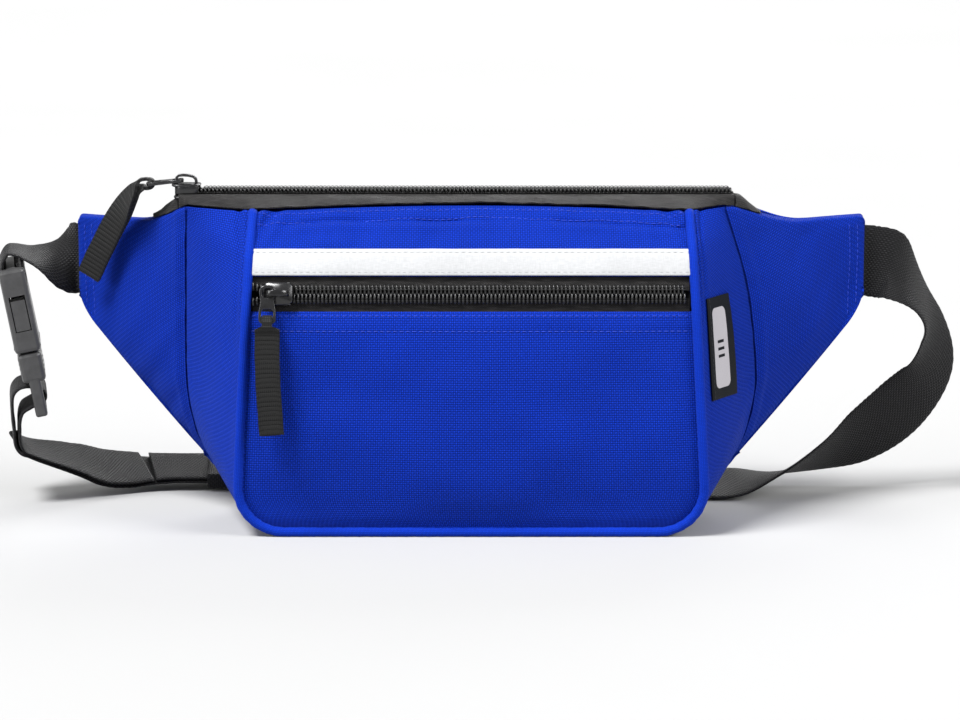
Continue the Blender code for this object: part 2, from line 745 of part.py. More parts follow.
def make_end_tab(name, side, start_x):
    """The zip's end, folded down into the corner where the wing closes."""
    length, half = 11 * MM, 5 * MM
    drop = 2.6 * MM if side < 0 else GAP

    def place(u, v):
        down = u if side > 0 else 1 - u
        x = start_x + side * (GAP + length * down)
        mouth = wing_point(side, (abs(x) - abs(seam_point(side, 0).x)) / WING_LENGTH, 1)
        z = lerp(MAIN_ZIP_Z - drop, mouth.z + 1.5 * MM, smoothstep(0, 1, down))
        middle = lerp(MAIN_ZIP_Y, mouth.y + 5 * MM, down)
        return Vector((x, middle + (2 * v - 1) * half * (1 - 0.4 * down), z))

    bent_sheet(name, 6, 1, place, TAPE, TAPE_CLOTH)


# ---------------------------------------------------------------- buckle, strap and keeper

WING_MIDDLE_Z = WING_TOP_Z - WING_END_HEIGHT / 2
WING_END_Y = inside_back(WING_END_X, WEB_DEPTH)
BUCKLE_TOP = Vector((-WING_END_X - 29.5 * MM, WING_END_Y + 2 * MM, WING_MIDDLE_Z - 2.3 * MM))


def buckle_matrix():
    """Local X through the thickness towards the bag, Y across the width, Z up the length."""
    turn = Matrix.Rotation(BUCKLE_YAW, 4, "Z") @ Matrix.Rotation(-BUCKLE_LEAN, 4, "Y")
    return Matrix.Translation(BUCKLE_TOP) @ turn


def buckle_box(span, across, depth):
    """Corners of a box in the buckle: along its length from the top, across, and through."""
    return (depth[0], across[0], -span[1]), (depth[1], across[1], -span[0])


BUCKLE_HALF = STRAP_WIDTH / 2 + 0.5 * MM + BUCKLE_RAIL
SLOT_HALF = STRAP_WIDTH / 2 + 0.5 * MM
BUCKLE_FACE = BUCKLE_THICKNESS / 2


def make_buckle():
    frame = add_empty("buckle_frame", (0, 0, 0))
    frame.matrix_basis = buckle_matrix()
    full, face = BUCKLE_HALF, BUCKLE_FACE
    wall = 2.2 * MM

    def cut(item, operation, name, span, across, depth, bevel=0.0):
        boolean(item, operation, name, *buckle_box(span, across, depth), bevel)

    socket = box("buckle_socket", *buckle_box((0, SOCKET_LENGTH), (-full, full), (-face, face)),
                 PLASTIC, frame)
    round_edges(socket, 1.6 * MM)
    cut(socket, "DIFFERENCE", "cavity", (CAVITY_START, SOCKET_LENGTH + 2 * MM),
        (-full + wall, full - wall), (-CAVITY_FACE, CAVITY_FACE))
    cut(socket, "DIFFERENCE", "windows", (CAVITY_START - 0.5 * MM, 26.8 * MM),
        (-full - 2 * MM, full + 2 * MM), (-CAVITY_FACE, CAVITY_FACE))
    cut(socket, "DIFFERENCE", "slot", (4.5 * MM, 8.5 * MM), (-SLOT_HALF, SLOT_HALF),
        (-face - 2 * MM, face + 2 * MM))
    bar = 1.75 * MM
    for label, depth in (("outer", (-face - 2 * MM, -bar)), ("inner", (bar, face + 2 * MM))):
        cut(socket, "DIFFERENCE", f"bar_{label}", (-2 * MM, 5 * MM), (-SLOT_HALF, SLOT_HALF), depth)

    wide, deep = full - 0.5 * MM, face - 0.5 * MM
    shoulder = buckle_box((ARM_ROOT, PLUG_SHOULDER_END), (-wide, wide), (-deep, deep))
    plug = box("buckle_plug", *shoulder, PLASTIC, frame)
    round_edges(plug, 1.6 * MM)
    thin = LADDER_THICKNESS / 2
    cut(plug, "UNION", "ladder", (PLUG_SHOULDER_END - 3 * MM, BUCKLE_LENGTH),
        (-full + 0.6 * MM, full - 0.6 * MM), (-thin, thin), 1 * MM)
    cut(plug, "UNION", "tongue", (CAVITY_START + 2 * MM, ARM_ROOT + 2 * MM), (-4 * MM, 4 * MM),
        (-1.6 * MM, 1.6 * MM))
    for label, span in (("upper_slot", (50.5 * MM, 54 * MM)), ("lower_slot", (57.5 * MM, 61 * MM))):
        cut(plug, "DIFFERENCE", label, span, (-SLOT_HALF, SLOT_HALF), (-2 * face, 2 * face))
    for label, depth in (("bar_outer", (-2 * face, -1.5 * MM)), ("bar_inner", (1.5 * MM, 2 * face))):
        cut(plug, "DIFFERENCE", label, (53 * MM, 58 * MM), (-SLOT_HALF, SLOT_HALF), depth)
    for name, side in (("buckle_arm_front", -1), ("buckle_arm_back", 1)):
        make_arm(name, side, frame)


def make_arm(name, side, frame):
    """A sprung arm of the plug: a beam that ends in the button in the socket's window."""
    beam = 2.8 * MM
    centre = Vector((0, side * (ARM_INNER + beam / 2), -(ARM_ROOT - 1 * MM)))
    root = add_empty(f"{name}_axis", centre, None, frame)

    def corners(span, across, depth):
        across = sorted((side * across[0], side * across[1]))
        low, high = buckle_box(span, across, (-depth, depth))
        return Vector(low) - centre, Vector(high) - centre

    thick = CAVITY_FACE - GAP
    span = (CAVITY_START + 2.5 * MM, ARM_ROOT - GAP)
    arm = box(name, *corners(span, (ARM_INNER, ARM_INNER + beam), thick), PLASTIC, root)
    span, reach = (CAVITY_START + 1.5 * MM, 26.5 * MM), (ARM_INNER + 0.4 * MM, BUCKLE_HALF - GAP)
    boolean(arm, "UNION", "button", *corners(span, reach, thick - 0.1 * MM))
    round_edges(arm, 0.6 * MM)


def in_buckle(through, along, width=(0, 1, 0)):
    """A webbing station given in the buckle: how far through it and how far down it."""
    matrix = buckle_matrix()
    return matrix @ Vector((through * MM, 0, -along * MM)), matrix.to_3x3() @ Vector(width)


def beside_wing(side, x, y, z, width):
    """A webbing station given from a wing's end, its height as at a wing 104 mm up."""
    height = z * WING_MIDDLE_Z / 104
    return Vector((side * (WING_END_X + x * MM), WING_END_Y + y * MM, height)), width


def sewn_in(side, z, depth):
    """A station where the webbing lies between the layers of a wing, depth inside its end."""
    x = WING_END_X - depth * MM
    return Vector((side * x, inside_back(x, WEB_DEPTH), z * WING_MIDDLE_Z / 104)), (0, 0, 1)


def make_left_webbing():
    stations = [
        sewn_in(-1, 104, 12), sewn_in(-1, 104, 6), sewn_in(-1, 104, 1), sewn_in(-1, 104, -1.5),
        beside_wing(-1, 6.5, 1.3, 104, (0, 0.6, 0.8)),
        beside_wing(-1, 12.5, 1.8, 104.4, (0, 0.93, 0.36)),
        beside_wing(-1, 20.5, 2, 105.8, (-0.1, 0.98, 0.1)),
        in_buckle(0.8, -5.6), in_buckle(-2.9, -2.4), in_buckle(-3.6, 1.0), in_buckle(-3.0, 4.8),
        in_buckle(0, 6.5), in_buckle(2.9, 4.8), in_buckle(3.4, 1.0), in_buckle(3.0, -1.4),
    ]
    webbing("left_webbing", Route(stations), STRAP_WIDTH, STRAP, 56, WEB)


FLAT_WIDTH = Vector((0, 0.985, 0.17)).normalized()     # the strap's tilt where it lies on the floor
PAIR_Y = 75 * MM
PAIR_Z = 7.1 * MM * STRAP_WIDTH / (30 * MM)


def on_floor(x, y, lift, width):
    """A strap station on the floor: its lower edge is raised by lift."""
    width = Vector(width).normalized()
    reach = abs(width.z) * STRAP_WIDTH / 2 + abs(width.y) * STRAP / 2
    return Vector((x, y * MM, reach + lift * MM + GAP)), width


def pair_route():
    """Middle of the two strap layers, from the tail's end to the ladder lock."""
    left = -WING_END_X
    stations = [(Vector((KEEPER_X + step * MM, PAIR_Y, PAIR_Z)), FLAT_WIDTH)
                for step in (24, 10, -4, -16, -26)]
    stations += [on_floor(left + 20 * MM, 71.5, 3.6, (0.1, 0.97, 0.2)),
                 on_floor(left + 7 * MM, 64.5, 5.5, (0.1, 0.97, 0.2)),
                 on_floor(left - 4.5 * MM, 58, 11, (0.05, 0.99, 0.12))]
    return Route(stations)


def make_strap():
    pair = pair_route()
    split, half_step = 0.62, LAYER_STEP / 2

    def layer(t, sign):
        centre, across, face = pair.frame(t)
        return centre + face * half_step * sign, across

    upper, lower = -1, 1
    right = WING_END_X
    stations = [
        sewn_in(1, 104, 12), sewn_in(1, 103.7, 6), sewn_in(1, 103.3, 1), sewn_in(1, 103, -1.5),
        beside_wing(1, 13, 3.2, 100, (-0.07, 0.25, 0.965)),
        beside_wing(1, 24.5, 9.2, 88, (0.03, 0.8, 0.6)),
        beside_wing(1, 31, 15.2, 72, (0.4, 0.88, -0.22)),
        beside_wing(1, 30.5, 19.2, 53, (0.66, 0.66, -0.36)),
        beside_wing(1, 18.5, 19.2, 37, (0.77, 0.415, -0.484)),
        beside_wing(1, 2, 17.2, 24.5, (0.77, 0.516, -0.375)),
        beside_wing(1, -16.6, 14.2, 15.3, (0.405, 0.853, -0.33)),
        on_floor(right - 34 * MM, 55, 5.2, (0, 0.985, -0.17)),
        on_floor(right - 52 * MM, 54.5, 0.9, (0, 0.977, 0.21)),
        on_floor(right - 74 * MM, 56, 0.6, FLAT_WIDTH),
        on_floor(0, 66, 0.8, FLAT_WIDTH),
    ]
    stations += [layer(split * i / 10, upper) for i in range(11)]
    webbing("strap", Route(stations), STRAP_WIDTH, STRAP, 90, WEB)

    stations = [layer(lerp(split + 0.03, 1, i / 6), upper) for i in range(7)]
    stations += [in_buckle(-10.6, 77, (-0.02, 1, 0)), in_buckle(-10.4, 68), in_buckle(-8.0, 62),
                 in_buckle(-4.0, 60.2), in_buckle(0, 59.2), in_buckle(2.6, 57.9), in_buckle(3.2, 55.75),
                 in_buckle(2.6, 53.6), in_buckle(0, 52.2), in_buckle(-4.0, 51.0), in_buckle(-7.6, 51.4),
                 in_buckle(-10.4, 54), in_buckle(-11.9, 60), in_buckle(-12.8, 68), in_buckle(-12.6, 77)]
    stations += [layer(lerp(1, 0.04, i / 14), lower) for i in range(15)]
    webbing("strap_buckle_end", Route(stations), STRAP_WIDTH, STRAP, 110, WEB)


def make_keeper():
    up = Vector((1, 0, 0)).cross(FLAT_WIDTH)
    axes = Matrix((Vector((1, 0, 0)), FLAT_WIDTH, up)).transposed().to_4x4()
    frame = add_empty("keeper_frame", (KEEPER_X, PAIR_Y, PAIR_Z), axes)
    inner = Vector((KEEPER_LENGTH, STRAP_WIDTH / 2 + GAP, STRAP + GAP + GAP / 2))
    outer = Vector((KEEPER_LENGTH / 2, inner.y + KEEPER, inner.z + KEEPER))
    keeper = box("strap_keeper", -outer, outer, WEB, frame, 0.6 * MM)
    boolean(keeper, "DIFFERENCE", "passage", -inner, inner)


# ---------------------------------------------------------------- assembly

clear_scene()
PARTS = new_collection("waist_bag")
CUTTERS = new_collection("waist_bag_cutters")
BLUE_CLOTH = principled("blue_cloth", BLUE, 0.75)
STRIPE_CLOTH = principled("white_ribbon", WHITE, 0.6)
LINING = principled("lining", CHARCOAL, 0.85)
TAPE_CLOTH = principled("zip_tape", CHARCOAL, 0.8)
COIL = principled("zip_coil", BLACK, 0.35)
METAL = principled("black_metal", BLACK, 0.35, 0.9)
WEB = principled("black_webbing", BLACK, 0.7)
PLASTIC = principled("black_plastic", CHARCOAL, 0.4)
LABEL_CLOTH = principled("label", BLACK, 0.6)

make_back_panel()
make_gusset()
make_front_panels()
make_divider()
make_piping()
make_wing(-1, "wing_left_front")
make_wing(1, "wing_right_front")
make_label()
make_front_zip()
make_main_zip()
make_buckle()
make_left_webbing()
make_strap()
make_keeper()
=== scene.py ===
import json
import math

import bmesh
import bpy
import numpy as np
from mathutils import Matrix, Vector, noise


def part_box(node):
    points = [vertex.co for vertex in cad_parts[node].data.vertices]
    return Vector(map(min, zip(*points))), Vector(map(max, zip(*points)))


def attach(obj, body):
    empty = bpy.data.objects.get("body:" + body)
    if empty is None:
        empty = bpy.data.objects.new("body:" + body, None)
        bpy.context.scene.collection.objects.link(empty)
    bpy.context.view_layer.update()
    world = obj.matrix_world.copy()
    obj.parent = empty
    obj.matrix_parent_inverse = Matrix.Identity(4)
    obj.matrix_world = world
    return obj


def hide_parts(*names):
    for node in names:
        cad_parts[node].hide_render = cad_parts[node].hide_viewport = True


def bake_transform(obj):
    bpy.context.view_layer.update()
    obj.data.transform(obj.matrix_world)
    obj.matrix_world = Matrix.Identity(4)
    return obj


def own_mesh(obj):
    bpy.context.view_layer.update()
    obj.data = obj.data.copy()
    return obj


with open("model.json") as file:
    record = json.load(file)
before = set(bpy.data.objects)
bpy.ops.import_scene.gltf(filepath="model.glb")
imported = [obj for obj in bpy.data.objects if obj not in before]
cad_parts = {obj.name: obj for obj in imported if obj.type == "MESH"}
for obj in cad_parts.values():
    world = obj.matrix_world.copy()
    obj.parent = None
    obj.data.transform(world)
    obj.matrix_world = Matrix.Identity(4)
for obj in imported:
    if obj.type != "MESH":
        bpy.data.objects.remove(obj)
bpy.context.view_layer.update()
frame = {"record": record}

MM = 0.001
JOINTS = {joint["name"]: joint for joint in frame["record"]["behaviour"]["joints"]}

# ---------------------------------------------------------------- sizes, as the CAD has them
GAP = 0.3 * MM
PANEL = 1.2 * MM
BACK_LOW, BACK_HIGH = (Vector(corner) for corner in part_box("back_panel"))
BAG_HEIGHT = BACK_HIGH.z
REAR_Y = BACK_LOW.y + PANEL
WING_END_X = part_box("wing_right_front")[1][0]
WING_LENGTH = 47 * MM
SEAM_HALF = WING_END_X - WING_LENGTH
WING_SWEEP = 15 * MM
WING_END_HEIGHT = 37 * MM
BACK_FLAT_HALF = 110 * MM
BASE_HALF, BASE_TURN = 79 * MM, 12 * MM
SEAM_TOP_INSET = {-1: 1 * MM, 1: 14 * MM}
MOUTH_FRONT_Y = 0.0
FRONT_Y = REAR_Y - 58 * MM
POCKET_WIDTH_TOP, POCKET_WIDTH_BOTTOM = 177 * MM, 192 * MM
POCKET_CORNER, POCKET_CROWN, POCKET_DEPTH = 20 * MM, 4 * MM, 11 * MM
PIPING_RADIUS = 1.4 * MM
RIM_CLEAR = PIPING_RADIUS + GAP
PIPING_SHOWN = 1.95 * MM            # its cloth closes on the panel and the gusset
RIM_Z = RIM_CLEAR
PANEL_TOP_MIDDLE, PANEL_TOP_DROP = BAG_HEIGHT + 0.4 * MM, 2.4 * MM
RIM_TOP_Z = PANEL_TOP_MIDDLE - PANEL_TOP_DROP
TAPE, STRIPE = 0.6 * MM, 0.6 * MM
TAPE_SLIT_HALF = 1.5 * MM
FRONT_ZIP_Z, FRONT_ZIP_LIP, FRONT_TAPE_HALF = 100.5 * MM, 7.2 * MM, 15 * MM
STRIPE_WIDTH = 10 * MM
MAIN_ZIP_Y, MAIN_ZIP_Z = 9 * MM, 136 * MM
SLIDER_WIDTH = 9.4 * MM
EYE_WIDTH, EYE_BAR, PULLER = 4.8 * MM, 2.0 * MM, 1.4 * MM
TAB_WIDTH, TAB = 10 * MM, 2.6 * MM
STRAP_WIDTH, STRAP = 30 * MM, 1.5 * MM
LAYER_STEP = STRAP + GAP
WING_TOP_Z = BAG_HEIGHT - 10.5 * MM
WING_LOW_Z = WING_TOP_Z - WING_END_HEIGHT
WING_MIDDLE_Z = WING_TOP_Z - WING_END_HEIGHT / 2
DIAGONAL_SLOPE = WING_LOW_Z / (WING_END_X - BASE_HALF - BASE_TURN)
SEAM_END_X = BASE_HALF + 2 * BASE_TURN + 1 * MM
BACK_INNER_Y = REAR_Y - PANEL - GAP
WEB_DEPTH = PANEL + 2 * GAP + STRAP / 2
LAYERS = 2 * WEB_DEPTH + PANEL + 2 * GAP
WING_SPAN = WING_END_X - BACK_FLAT_HALF
LOW_CORNER, TOP_CORNER = 7 * MM, 2.5 * MM
# a millimetre of height as the outlines and the straps' routes were drawn, at 133 and 104 mm
DRAWN_MM, DRAWN_STRAP_MM = BAG_HEIGHT / 133, WING_MIDDLE_Z / 104


# ---------------------------------------------------------------- small helpers

def lerp(a, b, t):
    return a + (b - a) * t


def smoothstep(a, b, x):
    t = min(1.0, max(0.0, (x - a) / (b - a)))
    return t * t * (3 - 2 * t)


def bell(distance, width):
    """1 at no distance, and falling smoothly to nothing over about twice the width."""
    return math.exp(-(distance / width)**2)


def wander(point, scale, seed=0.0):
    """Smooth noise in -1..1; scale is the size of its bumps in metres."""
    return noise.noise(Vector(point) / scale + Vector((seed, seed * 1.7, -seed)))


class Route:
    """A smooth curve through stations of a centre point and a width direction."""

    def __init__(self, stations):
        self.centres = [Vector(centre) for centre, _ in stations]
        self.widths = [Vector(width).normalized() for _, width in stations]
        self.marks = [0.0]
        for a, b in zip(self.centres, self.centres[1:]):
            self.marks.append(self.marks[-1] + (b - a).length)

    def read(self, values, s):
        marks = self.marks
        last = len(marks) - 1
        i = max(0, min(last - 1, sum(mark <= s for mark in marks) - 1))
        span = marks[i + 1] - marks[i]
        t = (s - marks[i]) / span

        def slope(k):
            a, b = max(0, k - 1), min(last, k + 1)
            return (values[b] - values[a]) / (marks[b] - marks[a]) * span

        return (values[i] * (2 * t**3 - 3 * t**2 + 1) + slope(i) * (t**3 - 2 * t**2 + t)
                + values[i + 1] * (3 * t**2 - 2 * t**3) + slope(i + 1) * (t**3 - t**2))

    def point(self, t):
        return self.read(self.centres, t * self.marks[-1])

    def frame(self, t):
        s = t * self.marks[-1]
        step = self.marks[-1] * 1e-4
        centre = self.read(self.centres, s)
        along = (self.read(self.centres, min(s + step, self.marks[-1]))
                 - self.read(self.centres, max(s - step, 0))).normalized()
        width = self.read(self.widths, s)
        width = (width - along * along.dot(width)).normalized()
        return centre, width, along.cross(width)


def finish_piece(piece, body, replaces=()):
    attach(piece, body)
    if replaces:
        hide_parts(*replaces)


def link(name, data, material):
    piece = bpy.data.objects.new(name, data)
    bpy.context.scene.collection.objects.link(piece)
    data.materials.append(material)
    return piece


def mesh_of(name, points, faces, material, uvs):
    mesh = bpy.data.meshes.new(name)
    mesh.from_pydata([tuple(p) for p in points], [], [tuple(int(i) for i in f) for f in faces])
    mesh.validate()
    layer = mesh.uv_layers.new(name="UVMap")
    corners = np.zeros(len(mesh.loops), dtype=np.int64)
    mesh.loops.foreach_get("vertex_index", corners)
    layer.data.foreach_set("uv", np.asarray(uvs, dtype=np.float32)[corners].ravel())
    mesh.shade_smooth()
    return link(name, mesh, material)


def arc_uv(points):
    """Distances along and across a grid of points, in millimetres, so weave lies at its real size."""
    middle = points.shape[1] // 2
    along = np.linalg.norm(np.diff(points[:, middle], axis=0), axis=1)
    across = np.cumsum(np.linalg.norm(np.diff(points, axis=1), axis=2), axis=1)
    v = np.concatenate([np.zeros((len(points), 1)), across], axis=1)
    u = np.concatenate([[0], np.cumsum(along)])[:, None] + 0 * v
    return np.stack([u, v - v[:, middle:middle + 1]], axis=-1) / MM


def grid_normals(points):
    du = np.gradient(points, axis=0)
    dv = np.gradient(points, axis=1)
    normal = np.cross(du, dv)
    return normal / np.maximum(np.linalg.norm(normal, axis=2, keepdims=True), 1e-12)


def second_layer(points, faces, index, step):
    """Repeats a grid one step away, and walls the two layers' borders together."""
    border = np.concatenate([index[:-1, 0], index[-1, :-1], index[:0:-1, -1], index[0, :0:-1]])
    after, count = np.roll(border, -1), len(points)
    walls = np.stack([border, border + count, after + count, after], axis=-1)
    faces = np.concatenate([faces, faces[:, ::-1] + count, walls])
    return np.concatenate([points, points + step]), faces, set(border) | set(border + count)


def sheet(name, columns, rows, place, material, thickness, relief, offset=-1.0, facing=None):
    """A sheet over place(u, v), u and v in 0..1, whose outer face looks along du x dv.

    relief(u, v, point) raises it along its normal. A flat piece has a facing instead: it is
    raised along that, and its inner layer lies straight behind its outer one.
    """
    us, vs = np.linspace(0, 1, columns + 1), np.linspace(0, 1, rows + 1)
    points = np.array([[tuple(place(u, v)) for v in vs] for u in us])
    uvs = arc_uv(points).reshape(-1, 2)
    lift = np.array([[relief(u, v, points[i, j]) for j, v in enumerate(vs)] for i, u in enumerate(us)])
    outward = grid_normals(points) if facing is None else np.array(facing)
    points = (points + outward * lift[..., None]).reshape(-1, 3)
    index = np.arange(len(points)).reshape(columns + 1, rows + 1)
    corners = [index[:-1, :-1], index[1:, :-1], index[1:, 1:], index[:-1, 1:]]
    faces, border = np.stack(corners, axis=-1).reshape(-1, 4), set()
    if facing is not None:
        points, faces, border = second_layer(points, faces, index, -outward * thickness)
        uvs = np.concatenate([uvs, uvs])
    piece = mesh_of(name, points, faces, material, uvs)
    mark_sharp_border(piece.data, border)
    if facing is None:
        solid = piece.modifiers.new("Thickness", "SOLIDIFY")
        solid.thickness = thickness
        solid.offset = offset
        solid.use_even_offset = False
    return piece


def mark_sharp_border(mesh, border):
    """Keeps a sheet's open edges crisp, or the edges that join points of border."""
    bm = bmesh.new()
    bm.from_mesh(mesh)
    for edge in bm.edges:
        if edge.is_boundary or {vert.index for vert in edge.verts} <= border:
            edge.smooth = False
    bm.to_mesh(mesh)
    bm.free()


def sweep(path, ups, sides):
    """Points and faces of a tube along path; sides(i) gives its outline's (across, up) offsets."""
    path = [Vector(p) for p in path]
    count = len(path)
    points, width = [], len(sides(0))
    for i, centre in enumerate(path):
        before, after = path[max(0, i - 1)], path[min(count - 1, i + 1)]
        along = (after - before).normalized()
        up = Vector(ups[i] if isinstance(ups, list) else ups)
        across = along.cross(up).normalized()
        up = across.cross(along)
        points += [centre + across * a + up * b for a, b in sides(i)]
    faces = [(a + k, a + width + k, a + width + (k + 1) % width, a + (k + 1) % width)
             for a in range(0, (count - 1) * width, width) for k in range(width)]
    faces.append(tuple(range(width)))
    faces.append(tuple(range((count - 1) * width, count * width))[::-1])
    return points, faces


def tube(name, rings, uvs, material):
    """A closed tube through rings of points, each of which ends on the point it starts from."""
    width = len(rings[0])
    points = [point for ring_points in rings for point in ring_points]
    faces = [(i * width + k, (i + 1) * width + k, (i + 1) * width + k + 1, i * width + k + 1)
             for i in range(len(rings) - 1) for k in range(width - 1)]
    piece = mesh_of(name, points, faces, material, np.array(uvs))
    close_mesh(piece.data)
    return piece


def close_mesh(mesh):
    """Joins points that coincide and fills open ends."""
    bm = bmesh.new()
    bm.from_mesh(mesh)
    bmesh.ops.remove_doubles(bm, verts=bm.verts[:], dist=1e-6)
    bmesh.ops.holes_fill(bm, edges=[edge for edge in bm.edges if edge.is_boundary], sides=0)
    bmesh.ops.recalc_face_normals(bm, faces=bm.faces[:])
    bm.to_mesh(mesh)
    bm.free()


def ring(radius, sides=6):
    step = 2 * math.pi / sides
    return [(radius * math.cos(k * step), radius * math.sin(k * step)) for k in range(sides)]


def block_ring(half_a, half_b, radius, steps=2):
    """A rounded rectangle as (across, up) offsets."""
    points = []
    radius = min(radius, half_a, half_b)
    for turn, (sa, sb) in enumerate(((1, 1), (-1, 1), (-1, -1), (1, -1))):
        for step in range(steps + 1):
            angle = math.pi / 2 * (turn + step / steps)
            points.append((sa * (half_a - radius) + radius * math.cos(angle),
                           sb * (half_b - radius) + radius * math.sin(angle)))
    return points


def resampled(loop, step):
    """A closed outline's points, with more of them wherever a side is longer than a step."""
    points = []
    for (a0, b0), (a1, b1) in zip(loop, loop[1:] + loop[:1]):
        count = max(1, int(math.dist((a0, b0), (a1, b1)) / step))
        points += [(lerp(a0, a1, k / count), lerp(b0, b1, k / count)) for k in range(count)]
    return points


class Bits:
    """Many small closed shapes gathered into one mesh."""

    def __init__(self):
        self.points, self.faces = [], []

    def add(self, points, faces):
        start = len(self.points)
        self.points += [tuple(p) for p in points]
        self.faces += [[start + i for i in face] for face in faces]

    def build(self, name, material):
        bm = bmesh.new()
        made = [bm.verts.new(p) for p in self.points]
        for face in self.faces:
            bm.faces.new([made[i] for i in dict.fromkeys(face)])
        bmesh.ops.recalc_face_normals(bm, faces=bm.faces[:])
        mesh = bpy.data.meshes.new(name)
        bm.to_mesh(mesh)
        bm.free()
        mesh.shade_smooth()
        return link(name, mesh, material)


# ---------------------------------------------------------------- materials

class Value:
    """A number inside a material's node tree, which takes plain arithmetic."""

    def __init__(self, finish, socket):
        self.finish = finish
        self.socket = socket

    def __add__(self, other):
        return self.finish.math("ADD", self, other)

    def __sub__(self, other):
        return self.finish.math("SUBTRACT", self, other)

    def __rsub__(self, other):
        return self.finish.math("SUBTRACT", other, self)

    def __mul__(self, other):
        return self.finish.math("MULTIPLY", self, other)

    def __truediv__(self, other):
        return self.finish.math("DIVIDE", self, other)

    def __mod__(self, other):
        return self.finish.math("MODULO", self, other)

    def __pow__(self, other):
        return self.finish.math("POWER", self, other)

    def __lt__(self, other):
        return self.finish.math("LESS_THAN", self, other)

    def __abs__(self):
        return self.finish.math("ABSOLUTE", self)

    def __floor__(self):
        return self.finish.math("FLOOR", self)

    def humps(self):
        """A row of round threads, one to each whole number."""
        return abs(self.finish.math("SINE", self * math.pi))


class Finish:
    """A Principled material with helpers for its procedural detail."""

    def __init__(self, name, colour, roughness, **uniform):
        self.material = bpy.data.materials.new(name)
        self.material.use_nodes = True
        self.tree = self.material.node_tree
        self.shader = self.tree.nodes["Principled BSDF"]
        self.shader.inputs["Base Color"].default_value = (*colour, 1)
        self.shader.inputs["Roughness"].default_value = roughness
        self.material.diffuse_color = (*colour, 1)
        for key, value in uniform.items():
            self.shader.inputs[key.replace("_", " ")].default_value = value
        self.colour = colour

    def node(self, kind, inputs=(), **settings):
        made = self.tree.nodes.new(f"ShaderNode{kind}")
        for key, value in settings.items():
            setattr(made, key, value)
        for key, value in dict(inputs).items():
            self.feed(made.inputs[key], value)
        return made

    def feed(self, socket, value):
        if isinstance(value, Value):
            self.tree.links.new(value.socket, socket)
        else:
            socket.default_value = value

    def value(self, kind, inputs, output=0, **settings):
        return Value(self, self.node(kind, inputs, **settings).outputs[output])

    def math(self, operation, *values):
        return self.value("Math", enumerate(values), operation=operation)

    def uv(self):
        return self.value("UVMap", {}, uv_map="UVMap")

    def along_and_across(self):
        return [self.value("SeparateXYZ", {"Vector": self.uv()}, axis) for axis in ("X", "Y")]

    def place(self):
        return self.value("TexCoord", {}, "Object")

    def noise(self, where, scale, detail=3.0, roughness=0.55):
        return self.value("TexNoise", {"Vector": where, "Scale": scale, "Detail": detail,
                                       "Roughness": roughness})

    def slubs(self, along, across, turn=0.0):
        """Noise on the cloth's own axes, stretched by its two scales."""
        where = self.value("Mapping", {"Vector": self.uv(), "Rotation": (0, 0, turn),
                                       "Scale": (along, across, 1)})
        return self.noise(where, 1.0, 2.0)

    def ramp(self, value, low, high, to_low, to_high):
        return self.value("MapRange", {"Value": value, "From Min": low, "From Max": high,
                                       "To Min": to_low, "To Max": to_high})

    def mix(self, factor, a, b, blend="MIX"):
        return self.value("Mix", {0: factor, 6: a, 7: b}, 2, data_type="RGBA", blend_type=blend)

    def tinted(self, factor, colour=None):
        """The finish's colour made lighter or darker by a value around 1."""
        grey = self.value("CombineColor", {"Red": factor, "Green": factor, "Blue": factor})
        return self.mix(1.0, colour or (*self.colour, 1), grey, "MULTIPLY")

    def set(self, socket, value):
        self.feed(self.shader.inputs[socket], value)

    def bump(self, height, distance, strength=1.0):
        return self.value("Bump", {"Height": height, "Distance": distance, "Strength": strength},
                          "Normal")


def weave_height(finish, pitch_u, pitch_v):
    """Height of a plain weave: threads pass over and under each other in turn."""
    along, across = finish.along_and_across()
    column, row = along / pitch_u, across / pitch_v
    warp, weft = column.humps(), row.humps()
    parity = abs((math.floor(column) + math.floor(row)) % 2.0)
    top = warp * parity + weft * (1.0 - parity)
    both = warp * weft
    return top * 0.4 + both * 0.25 + both * parity * 0.35


def cloth(name, colour, pitch, roughness=0.72, depth=0.10, contrast=0.34, sheen=0.25, tint=None):
    """Woven cloth: threads, slubs, slow colour drift and a soft sheen."""
    finish = Finish(name, colour, roughness, Sheen_Weight=sheen, Sheen_Roughness=0.4,
                    Specular_IOR_Level=0.08)
    if tint:
        finish.shader.inputs["Sheen Tint"].default_value = (*tint, 1)
    height = weave_height(finish, pitch, pitch * 1.05)
    slub = finish.slubs(0.35, 2.4)
    cross = finish.slubs(2.4, 0.3)
    drift = finish.noise(finish.place(), 22.0, 2.0)
    shade = finish.ramp(height, 0.15, 0.9, 1 - contrast, 1 + contrast * 0.45)
    shade = shade * finish.ramp(slub, 0.3, 0.7, 0.93, 1.07)
    shade = shade * finish.ramp(cross, 0.3, 0.7, 0.95, 1.05)
    shade = shade * finish.ramp(drift, 0.3, 0.7, 0.95, 1.05)
    finish.set("Base Color", finish.tinted(shade))
    finish.set("Roughness", finish.ramp(height, 0.1, 0.9, roughness + 0.12, roughness - 0.06))
    finish.set("Normal", finish.bump(height + slub * 0.5, depth * MM))
    return finish.material


